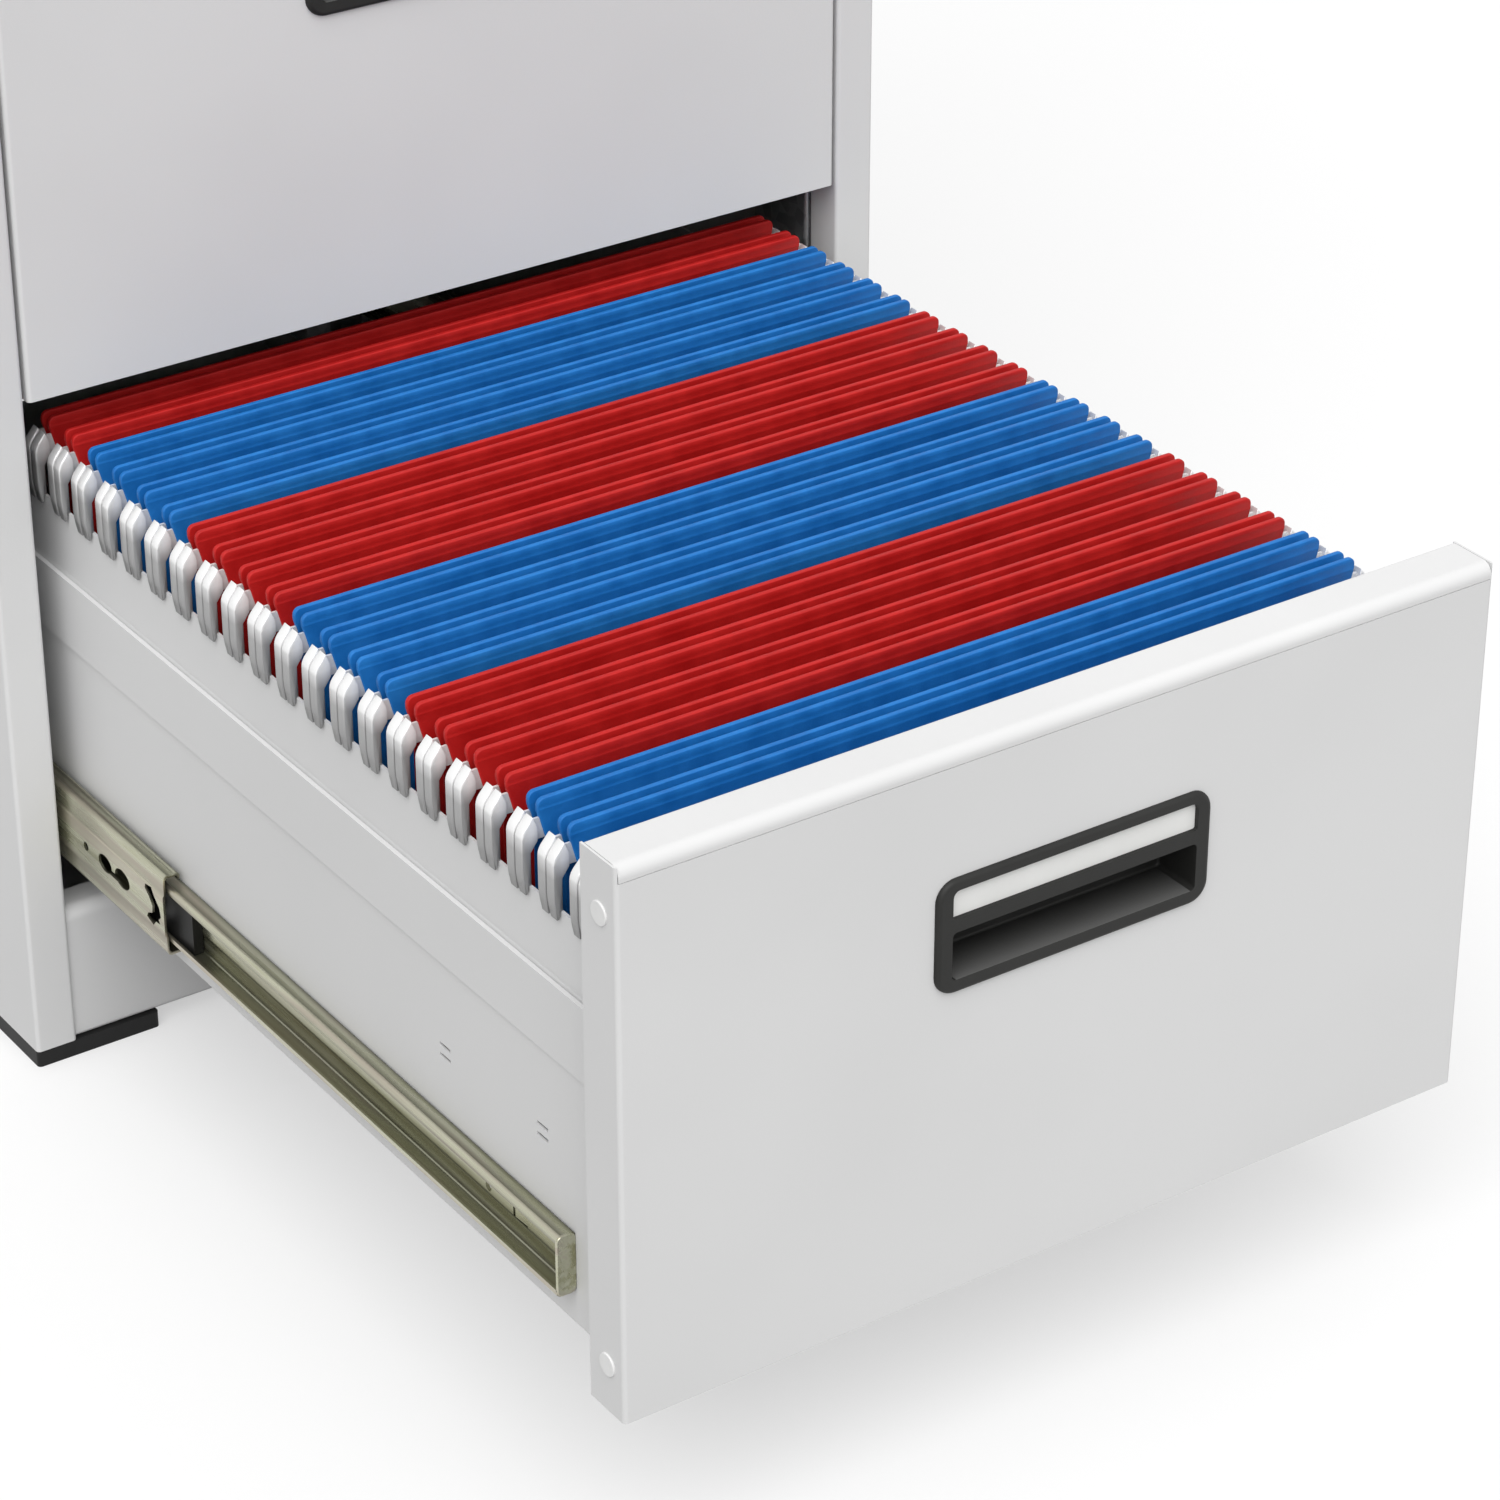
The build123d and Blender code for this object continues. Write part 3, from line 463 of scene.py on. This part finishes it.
def copyMoved(piece, name, move):
    takeUp(piece)
    bpy.ops.object.duplicate(linked=False)
    copy = bpy.context.object
    copy.name = name
    copy.location = Vector(move) * mm
    bpy.ops.object.transform_apply(location=True, rotation=True, scale=True)
    return copy


def copyFlipped(piece, name, scale):
    takeUp(piece)
    bpy.ops.object.duplicate(linked=False)
    copy = bpy.context.object
    copy.name = name
    copy.scale = scale
    bpy.ops.object.transform_apply(location=True, rotation=True, scale=True)
    bpy.ops.object.mode_set(mode="EDIT")
    bpy.ops.mesh.select_all(action="SELECT")
    bpy.ops.mesh.normals_make_consistent(inside=False)
    bpy.ops.object.mode_set(mode="OBJECT")
    return copy


def joinAll(name, *pieces):
    takeUp(*pieces)
    bpy.ops.object.join()
    pieces[0].name = name
    return pieces[0]


def dress(piece, slot, body, *replaced):
    piece.data.materials.clear()
    piece.data.materials.append(finishes[slot])
    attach(piece, body)
    if replaced:
        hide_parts(*replaced)


# Suspension files: two leaves each, with a rounded ridge on top and cut-in ends

fileSet = {
    "halfWidth": 189,
    "top": 307,
    "ridgeHeight": 17,
    "ridgeOuter": 4.35,
    "ridgeInner": 2.15,
    "card": 0.5,
    "bottom": 100,
    "turn": 8,
    "seam": 0.03,
    "corner": 3,
    "ridgeRound": 0.85,
    "cutInStart": 302,
    "cutIn": 3.2,
    "firstY": -722,
    "pitch": 21.9,
    "colours": ["blue"] * 3 + ["red"] * 4 + ["blue"] * 4 + ["red"] * 4 + ["blue"] * 4 + ["red"] * 2,
}


def makeLeaf(values):
    outer, inner = values["ridgeOuter"], values["ridgeInner"]
    half, top = values["halfWidth"], values["top"]
    ridgeBottom = top - values["ridgeHeight"]
    cardInner = outer - values["card"]
    foot = values["bottom"] + values["turn"]
    leaf = addBlock("leaf", (-half, cardInner, foot), (half, outer, top))
    cutAcross(leaf, (0, 0, ridgeBottom), (0, 0, 1))
    cutAcross(leaf, (0, 0, values["cutInStart"]), (0, 0, 1))
    pickFaces(leaf, lambda at, facing: faces(-facing.y) and at.z > ridgeBottom)
    pushOut((0, inner - cardInner, 0))
    pickPoints(leaf, lambda at: at.z < ridgeBottom + stepSet["overlap"])
    shrink = 1 - values["cutIn"] / half
    bpy.ops.transform.resize(value=(shrink, 1, 1))
    bpy.ops.object.mode_set(mode="OBJECT")
    pickFaces(leaf, lambda at, facing: faces(-facing.z) and near(at.z, foot))
    pushOut((0, values["seam"] - cardInner, -values["turn"]))

    def topCorner(a, b):
        return near(a.z, top) and near(b.z, top) and near(abs(a.x), half) and near(a.x, b.x)

    pickEdges(leaf, topCorner)
    roundPicked(values["corner"], 5)

    def onRidgeRim(a, b):
        onSide = any(near(a.y, y) and near(b.y, y) for y in (outer, inner))
        slack = stepSet["tolerance"]
        return onSide and min(a.z, b.z) > ridgeBottom - slack and max(a.z, b.z) > ridgeBottom + slack

    pickEdges(leaf, onRidgeRim)
    roundPicked(values["ridgeRound"], 3)
    evenNormals(leaf)
    return leaf


backLeaf = makeLeaf(fileSet)
frontLeaf = copyFlipped(backLeaf, "frontLeaf", (1, -1, 1))
oneFile = joinAll("oneFile", backLeaf, frontLeaf)
filePlaces = [fileSet["firstY"] + i * fileSet["pitch"] for i in range(len(fileSet["colours"]))]
for number, (y, colour) in enumerate(zip(filePlaces, fileSet["colours"]), 1):
    file = copyMoved(oneFile, f"{colour}File{number:02d}", (0, y, 0))
    dress(file, f"{colour}_card", "drawer_1", f"{colour}_folders")
bpy.data.objects.remove(oneFile)
print("files made:", len(filePlaces))


# Hooks: a slope off the file's end, then a tab that hangs over the drawer's rail

hookSet = {
    "width": 5.1,
    "rootX": 190.2,
    "rootTop": 297,
    "crestX": 192.0,
    "crest": 301,
    "shoulder": 294.8,
    "outerX": 197.3,
    "innerX": 194.4,
    "taperStart": 276,
    "taperRound": 3,
    "tipOuterX": 195.8,
    "tipInnerX": 194.9,
    "tip": 268.5,
    "tipRise": 2,
    "seat": 272.3,
    "heelX": 193.1,
    "heelTop": 286,
    "heel": 290.1,
    "apart": 6.1,
    "shoulderRound": 2.4,
    "edgeRound": 0.8,
}


def makeHook(values):
    half = values["width"] / 2
    outline = [
        (values["rootX"], values["rootTop"]),
        (values["crestX"], values["crest"]),
        (values["outerX"], values["shoulder"]),
        (values["outerX"], values["taperStart"]),
        (values["tipOuterX"], values["tip"]),
        (values["tipInnerX"], values["tip"]),
        (values["innerX"], values["tip"] + values["tipRise"]),
        (values["innerX"], values["seat"]),
        (values["heelX"], values["seat"]),
        (values["heelX"], values["heelTop"]),
        (values["rootX"], values["heel"]),
    ]
    hook = addOutline("hook", [(x, -half, z) for x, z in outline], (0, values["width"], 0))

    def across(a, b, x, z):
        return near(a.x, x) and near(b.x, x) and near(a.z, z) and near(b.z, z)

    pickEdges(hook, lambda a, b: across(a, b, values["outerX"], values["shoulder"]))
    roundPicked(values["shoulderRound"], 3)
    pickEdges(hook, lambda a, b: across(a, b, values["outerX"], values["taperStart"]))
    roundPicked(values["taperRound"], 2)
    keepSharp = values["rootX"] + stepSet["overlap"]
    pickEdges(hook, lambda a, b: near(abs(a.y), half) and near(a.y, b.y) and max(a.x, b.x) > keepSharp)
    roundPicked(values["edgeRound"], 2)
    evenNormals(hook)
    return hook


firstHook = makeHook(hookSet)
halfApart = hookSet["apart"] / 2
hookPair = [copyMoved(firstHook, "hook", (0, y, 0)) for y in (-halfApart, halfApart)]
otherPair = [copyFlipped(hook, "hook", (-1, 1, 1)) for hook in hookPair]
bpy.data.objects.remove(firstHook)
oneSet = joinAll("oneSet", *hookPair, *otherPair)
for number, y in enumerate(filePlaces, 1):
    hooks = copyMoved(oneSet, f"fileHooks{number:02d}", (0, y, 0))
    dress(hooks, "hook_steel", "drawer_1", "folder_hooks")
bpy.data.objects.remove(oneSet)
print("hooks made:", 4 * len(filePlaces))


# Handles: a rounded frame round the label's window and the finger recess, with a tub behind it

drawerSet = {
    "count": 4,
    "openForward": 455,
    "slidesForward": 162.9,
    "pitch": 249.5,
}

handleSet = {
    "halfWidth": 66,
    "bottom": 219,
    "top": 269.5,
    "face": -765,
    "proud": 2.5,
    "corner": 9,
    "outerRim": 2.1,
    "innerRim": 0.8,
    "openingHalf": 59,
    "window": (252.5, 264.9),
    "windowRounds": (1, 3),
    "recess": (225.4, 246.5),
    "recessRounds": (2, 2),
    "recessBack": -744.9,
    "recessFillet": 1.2,
    "wall": 1.4,
    "tub": (222.6, 247.1),
    "tubBack": -742.8,
    "labelLap": 3,
    "labelGap": 0.4,
    "slotReach": 0.1,
}


def forEachDrawer(piece, part, forward, slot, body, node):
    # the first drawer stands open at rest, the others are shut above it
    for number in range(1, drawerSet["count"] + 1):
        back = 0 if number == 1 else forward
        copy = copyMoved(piece, f"drawer{number}{part}", (0, back, drawerSet["pitch"] * (number - 1)))
        dress(copy, slot, f"{body}_{number}", f"drawer_{number}_{node}")
    bpy.data.objects.remove(piece)


def makeHandle(values):
    half, opening, face = values["halfWidth"], values["openingHalf"], values["face"]
    wall, overlap = values["wall"], stepSet["overlap"]
    front = face - values["proud"]
    handle = addBlock("handle", (-half, front, values["bottom"]), (half, face, values["top"]))
    pickEdges(handle, lambda a, b: near(a.x, b.x) and near(a.z, b.z))
    roundPicked(values["corner"], 8)
    pickEdges(handle, lambda a, b: near(a.y, front) and near(b.y, front))
    roundPicked(values["outerRim"], 4)
    recessLow = values["recess"][0]
    tubLow, tubHigh = values["tub"]
    tub = addBlock(
        "tub",
        (-opening - wall, face - overlap, tubLow),
        (opening + wall, values["tubBack"], tubHigh),
    )
    combine(handle, tub, "UNION")
    cuts = [
        (values["recess"], values["recessRounds"], values["recessBack"]),
        (values["window"], values["windowRounds"], face + overlap),
    ]
    for (low, high), rounds, back in cuts:
        tool = addBlock("tool", (-opening, front - 1, low), (opening, back, high))
        for z, width in zip((low, high), rounds):
            pickEdges(tool, lambda a, b: near(a.x, b.x) and near(a.z, z) and near(b.z, z))
            roundPicked(width, 4)
        if (low, high) == values["recess"]:
            pickEdges(tool, lambda a, b: near(a.y, back) and near(b.y, back))
            roundPicked(values["recessFillet"], 3)
        combine(handle, tool, "DIFFERENCE")
    lap, (windowLow, windowHigh) = values["labelLap"], values["window"]
    slot = addBlock(
        "slot",
        (-opening - lap, face - values["labelGap"], windowLow - lap),
        (opening + lap, face + values["slotReach"], windowHigh + lap),
    )
    combine(handle, slot, "DIFFERENCE")

    def onOpeningRim(a, b):
        slack = stepSet["tolerance"]
        if not (near(a.y, front) and near(b.y, front) and max(abs(a.x), abs(b.x)) < opening + slack):
            return False
        spans = (values["recess"], values["window"])
        lowest, highest = min(a.z, b.z), max(a.z, b.z)
        return any(low - slack < lowest and highest < high + slack for low, high in spans)

    pickEdges(handle, onOpeningRim)
    roundPicked(values["innerRim"], 3)
    evenNormals(handle)
    # painted light on the recess's floor: 1 at its lit front edge, falling to 0 in the shade at the back
    paintedRecessLight = handle.data.attributes.new("paintedRecessLight", "FLOAT", "CORNER")
    back = values["recessBack"]
    for polygon in handle.data.polygons:
        onFloor = faces(polygon.normal.z) and near(polygon.center.z / mm, recessLow)
        for corner in polygon.loop_indices:
            y = handle.data.vertices[handle.data.loops[corner].vertex_index].co.y / mm
            paintedRecessLight.data[corner].value = (back - y) / (back - front) if onFloor else 0.0
    return handle


oneHandle = makeHandle(handleSet)
forEachDrawer(oneHandle, "Handle", drawerSet["openForward"], "handle_plastic", "drawer", "handle")
print("handles made:", drawerSet["count"])


# Slide members: rolled channels with ball races, a closed front end, holes and a lanced tab

slideSet = {
    "centre": 120,
    "innerWeb": 196.7,
    "innerStart": -715,
    "innerLength": 480,
    # out from the drawer's side, up from the slide's middle, and how much painted shade lies there
    "innerProfile": [
        (8.6, 10.8, 0.5), (8.6, 12.6, 0.1), (8.0, 13.7, 0.0), (6.6, 14.0, 0.1), (5.9, 13.4, 0.6),
        (3.2, 13.4, 0.1), (2.5, 14.0, 0.2), (1.0, 14.0, 0.6), (0.0, 13.0, 1.0), (0.0, -13.0, 0.6),
        (1.0, -14.0, 0.4), (7.6, -14.0, 0.1), (8.8, -13.0, 0.0), (8.8, -10.8, 0.0), (7.6, -10.8, 0.4),
        (7.6, -12.2, 0.5), (7.0, -12.8, 0.5), (2.0, -12.8, 0.5), (1.0, -11.8, 0.45), (1.0, -9.6, 0.12),
        (1.0, -4.6, 0.10), (1.5, -3.6, 0.75), (1.5, -2.4, 0.0), (1.5, 8.0, 0.0), (1.0, 9.2, 0.4),
        (1.0, 11.8, 0.8), (2.0, 12.8, 0.8), (6.9, 12.8, 0.8), (7.4, 12.3, 0.8), (7.4, 10.8, 0.8),
    ],
    "innerHole": (-653, 2.2),
    "tabBack": -673,
    "tabFront": -683,
    "tabHalf": 3.2,
    "tabRoot": 0.1,
    "tabEdge": 0.6,
    "tabSheet": 0.9,
    "tabRun": 1.5,
    "tabSlack": 0.3,
    "slotAhead": 1,
    "slotBehind": 1.6,
    "slotCut": (5, 1),
    "endHalf": 14,
    "endDepth": 8.8,
    "endSheet": 1.2,
    "endRound": 2.6,
    "endEdge": 0.5,
    "middleWeb": 207.8,
    "middleStart": -402.9,
    "middleLength": 455,
    # in from the outer face, up from the slide's middle, and the painted shade
    "middleProfile": [
        (0.0, 9.5, 0.0), (0.7, 10.6, 0.25), (0.7, 17.6, 0.05), (1.4, 19.4, 0.1), (2.6, 20.0, 0.3),
        (3.6, 19.3, 0.6), (6.0, 19.3, 0.1), (7.0, 20.0, 0.2), (8.2, 19.6, 0.4), (8.8, 18.6, 0.4),
        (8.8, 16.8, 0.5), (7.6, 16.8, 0.8), (7.6, 18.0, 0.8), (6.8, 18.6, 0.8), (2.7, 18.6, 0.9),
        (1.7, 17.4, 0.9), (1.7, 10.8, 0.8), (1.1, 9.6, 0.7), (1.1, -9.6, 0.7), (1.7, -10.8, 0.7),
        (1.7, -17.4, 0.8), (2.7, -18.6, 0.8), (6.8, -18.6, 0.6), (7.6, -18.0, 0.6), (7.6, -16.8, 0.5),
        (8.8, -16.8, 0.2), (8.8, -18.6, 0.0), (8.0, -19.8, 0.0), (2.6, -20.0, 0.1), (1.4, -19.4, 0.05),
        (0.7, -17.6, 0.0), (0.7, -10.6, 0.35), (0.0, -9.5, 0.2),
    ],
    "middleHole": (-330.9, 2.2),
    # two oval holes, each with its Y, half height and half length, and the slit that joins them
    "keyholes": [(-364.9, 4.6, 6.8), (-348.9, 4.2, 6.2)],
    "keyLink": (-364.9, -348.9, -3.4, -0.6),
    "cutReach": 4,
    # the bent slot near the end: back from the member's end, and up from its middle
    "bentSlot": [
        (15.7, 9.3), (10.4, 9.8), (8.2, 6.6), (4.0, 2.6), (2.9, -1.8), (5.2, -4.0), (3.8, -5.8), (7.8, -6.2),
        (10.4, -9.2), (16.2, -7.4), (14.8, -5.0), (10.9, -3.2), (10.4, 0.6), (13.1, 4.0), (16.6, 6.8),
    ],
}


def addProfile(name, profile, webX, outward, start, length, centre):
    points = [(webX + outward * u, start, centre + z) for u, z, _ in profile]
    return addOutline(name, points, (0, length, 0))


def addPaintedShade(piece, profile, webX, outward, centre):
    # each point takes the painted shade of the nearest profile point
    paintedShade = piece.data.attributes.new("paintedShade", "FLOAT", "POINT")
    for vertex, value in zip(piece.data.vertices, paintedShade.data):
        u = (vertex.co.x / mm - webX) * outward
        z = vertex.co.z / mm - centre
        value.value = min(profile, key=lambda point: (point[0] - u) ** 2 + (point[1] - z) ** 2)[2]


def addPin(name, x, y, z, radiusY, radiusZ):
    clearSelection()
    sides, length = stepSet["pinSides"], stepSet["pinLength"] * mm
    place = Vector((x, y, z)) * mm
    turned = (0, math.pi / 2, 0)
    bpy.ops.mesh.primitive_cylinder_add(
        vertices=sides, radius=1, depth=length, location=place, rotation=turned,
    )
    pin = bpy.context.object
    pin.name = name
    pin.scale = (radiusZ * mm, radiusY * mm, 1)
    bpy.ops.object.transform_apply(location=True, rotation=True, scale=True)
    return pin


def makeInnerSlide(values):
    centre, web, start = values["centre"], -values["innerWeb"], values["innerStart"]
    profile, endSheet = values["innerProfile"], values["endSheet"]
    joint = endSheet / 2  # the channel starts half way into its closed end
    slide = addProfile("innerSlide", profile, web, -1, start + joint, values["innerLength"] - joint, centre)
    holeY, radius = values["innerHole"]
    combine(slide, addPin("hole", web, holeY, centre, radius, radius), "DIFFERENCE")
    half, back, front = values["tabHalf"], values["tabBack"], values["tabFront"]
    cutOut, cutIn = values["slotCut"]
    slot = addBlock(
        "slot",
        (web - cutOut, front + values["slotAhead"], centre - half),
        (web + cutIn, back + values["slotBehind"], centre + half),
    )
    combine(slide, slot, "DIFFERENCE")
    addPaintedShade(slide, profile, web, -1, centre)
    slack, root, edge, sheet = (values[key] for key in ("tabSlack", "tabRoot", "tabEdge", "tabSheet"))
    low = centre - half + slack
    tabPoints = [
        (web - root - sheet, front, low),
        (web - edge - sheet, back, low),
        (web - edge, back, low),
        (web - root, front + values["tabRun"], low),
    ]
    tab = addOutline("tab", tabPoints, (0, 0, 2 * (half - slack)))
    endHalf = values["endHalf"]
    end = addBlock(
        "end",
        (web - values["endDepth"], start, centre - endHalf),
        (web, start + endSheet, centre + endHalf),
    )
    pickEdges(end, lambda a, b: near(a.x, b.x) and near(a.z, b.z))
    roundPicked(values["endRound"], 5)
    pickEdges(end, lambda a, b: near(a.y, start) and near(b.y, start))
    roundPicked(values["endEdge"], 2)
    return joinAll("innerSlide", slide, tab, end)


def makeMiddleSlide(values):
    centre, web, start = values["centre"], -values["middleWeb"], values["middleStart"]
    profile = values["middleProfile"]
    slide = addProfile("middleSlide", profile, web, 1, start, values["middleLength"], centre)
    holeY, radius = values["middleHole"]
    tools = [addPin("hole", web, holeY, centre, radius, radius)]
    for y, halfHeight, halfLength in values["keyholes"]:
        tools.append(addPin("keyhole", web, y, centre, halfLength, halfHeight))
    outside, inside = web - values["cutReach"], web + values["cutReach"]
    linkFront, linkBack, linkLow, linkHigh = values["keyLink"]
    link = addBlock("link", (outside, linkFront, centre + linkLow), (inside, linkBack, centre + linkHigh))
    bentPoints = [(outside, start + y, centre + z) for y, z in values["bentSlot"]]
    bent = addOutline("bent", bentPoints, (inside - outside, 0, 0))
    tools += [link, bent]
    for tool in tools:
        combine(slide, tool, "DIFFERENCE")
    addPaintedShade(slide, profile, web, 1, centre)
    return slide


def bothSides(left):
    right = copyFlipped(left, "right", (-1, 1, 1))
    pair = joinAll("pair", left, right)
    evenNormals(pair)
    return pair


innerPair = bothSides(makeInnerSlide(slideSet))
forEachDrawer(innerPair, "InnerSlides", drawerSet["openForward"], "zinc_slide", "drawer", "inner_slides")
middlePair = bothSides(makeMiddleSlide(slideSet))
forEachDrawer(middlePair, "MiddleSlides", drawerSet["slidesForward"], "zinc_slide", "slides", "middle_slides")
print("slide members made")


# Camera, taken from a fit of the photograph's edges with no lens shift

cameraSet = {
    "focalPixels": 4767.2,
    "imagePixels": 1500,
    "sensor": 36.0,
    "farthest": 60,
    "place": (-0.984215, -1.984917, 1.198378),
    "azimuth": 34.362,
    "elevation": 29.721,
    "roll": -0.026,
}


def addCamera(values):
    turn, tilt, roll = (math.radians(values[key]) for key in ("azimuth", "elevation", "roll"))
    forward = Vector((math.sin(turn) * math.cos(tilt), math.cos(turn) * math.cos(tilt), -math.sin(tilt)))
    level = Vector((math.cos(turn), -math.sin(turn), 0))
    upright = level.cross(forward)
    right = level * math.cos(roll) + upright * math.sin(roll)
    up = upright * math.cos(roll) - level * math.sin(roll)
    lens = bpy.data.cameras.new("camera")
    lens.sensor_width = values["sensor"]
    lens.lens = values["focalPixels"] * values["sensor"] / values["imagePixels"]
    lens.clip_end = values["farthest"]
    camera = bpy.data.objects.new("camera", lens)
    turned = Matrix((right, up, -forward)).transposed().to_4x4()
    camera.matrix_world = Matrix.Translation(values["place"]) @ turned
    bpy.context.scene.collection.objects.link(camera)
    bpy.context.scene.camera = camera


addCamera(cameraSet)


# Floor and light

lightSet = {
    "world": 0.70,
    "sun": 2.56,
    "sunAngle": 60,
    "sunFrom": (-0.85, -1.28, 2.05),
    "floorSize": 30,
    "floorDrop": 0.0002,
    "floorTone": 0.35,  # what the light on the object meets
    "floorSeen": 0.40,  # what the camera and reflections see, with the glow added
    "floorGlow": 0.50,
}


def seenDirectly(tree):
    # 1 for what the camera sees, straight or in a reflection, and 0 for light that bounces
    path = addNode(tree, "ShaderNodeLightPath")
    either = addNode(tree, "ShaderNodeMath", operation="MAXIMUM")
    anyOfThem = addNode(tree, "ShaderNodeMath", operation="MAXIMUM")
    tree.links.new(path.outputs["Is Camera Ray"], either.inputs[0])
    tree.links.new(path.outputs["Is Glossy Ray"], either.inputs[1])
    tree.links.new(either.outputs[0], anyOfThem.inputs[0])
    tree.links.new(path.outputs["Is Transmission Ray"], anyOfThem.inputs[1])
    return anyOfThem.outputs[0]


def addWorld(values):
    world = bpy.data.worlds.new("studio")
    world.use_nodes = True
    bpy.context.scene.world = world
    tree = world.node_tree
    shade = tree.nodes["Background"]
    shade.inputs["Color"].default_value = (1, 1, 1, 1)
    level = addNode(tree, "ShaderNodeMapRange", {"To Min": values["world"], "To Max": 1.0})
    tree.links.new(seenDirectly(tree), level.inputs["Value"])
    tree.links.new(level.outputs["Result"], shade.inputs["Strength"])


def addSun(values):
    lamp = bpy.data.lights.new("softKey", "SUN")
    lamp.energy = values["sun"]
    lamp.angle = math.radians(values["sunAngle"])
    sun = bpy.data.objects.new("softKey", lamp)
    sun.rotation_euler = Vector(values["sunFrom"]).to_track_quat("Z", "Y").to_euler()
    bpy.context.scene.collection.objects.link(sun)


def addFloor(values):
    clearSelection()
    bpy.ops.mesh.primitive_plane_add(size=values["floorSize"], location=(0, 0, -values["floorDrop"]))
    floor = bpy.context.object
    floor.name = "floor"
    finish, tree, shader = newFinish("paleFloor")
    seen = seenDirectly(tree)
    tones = [
        ("Base Color", values["floorTone"], values["floorSeen"]),
        ("Emission Color", 0, values["floorGlow"]),
    ]
    for key, low, high in tones:
        colour = addRamp(tree, seen, [(0.0, (low, low, low)), (1.0, (high, high, high))])
        tree.links.new(colour, shader.inputs[key])
    shader.inputs["Emission Strength"].default_value = 1.0
    shader.inputs["Roughness"].default_value = 0.9
    shader.inputs["Specular IOR Level"].default_value = 0.0
    floor.data.materials.append(finish)


addWorld(lightSet)
addSun(lightSet)
addFloor(lightSet)
bpy.context.scene.view_settings.view_transform = "Standard"
print("camera, floor and light ready")
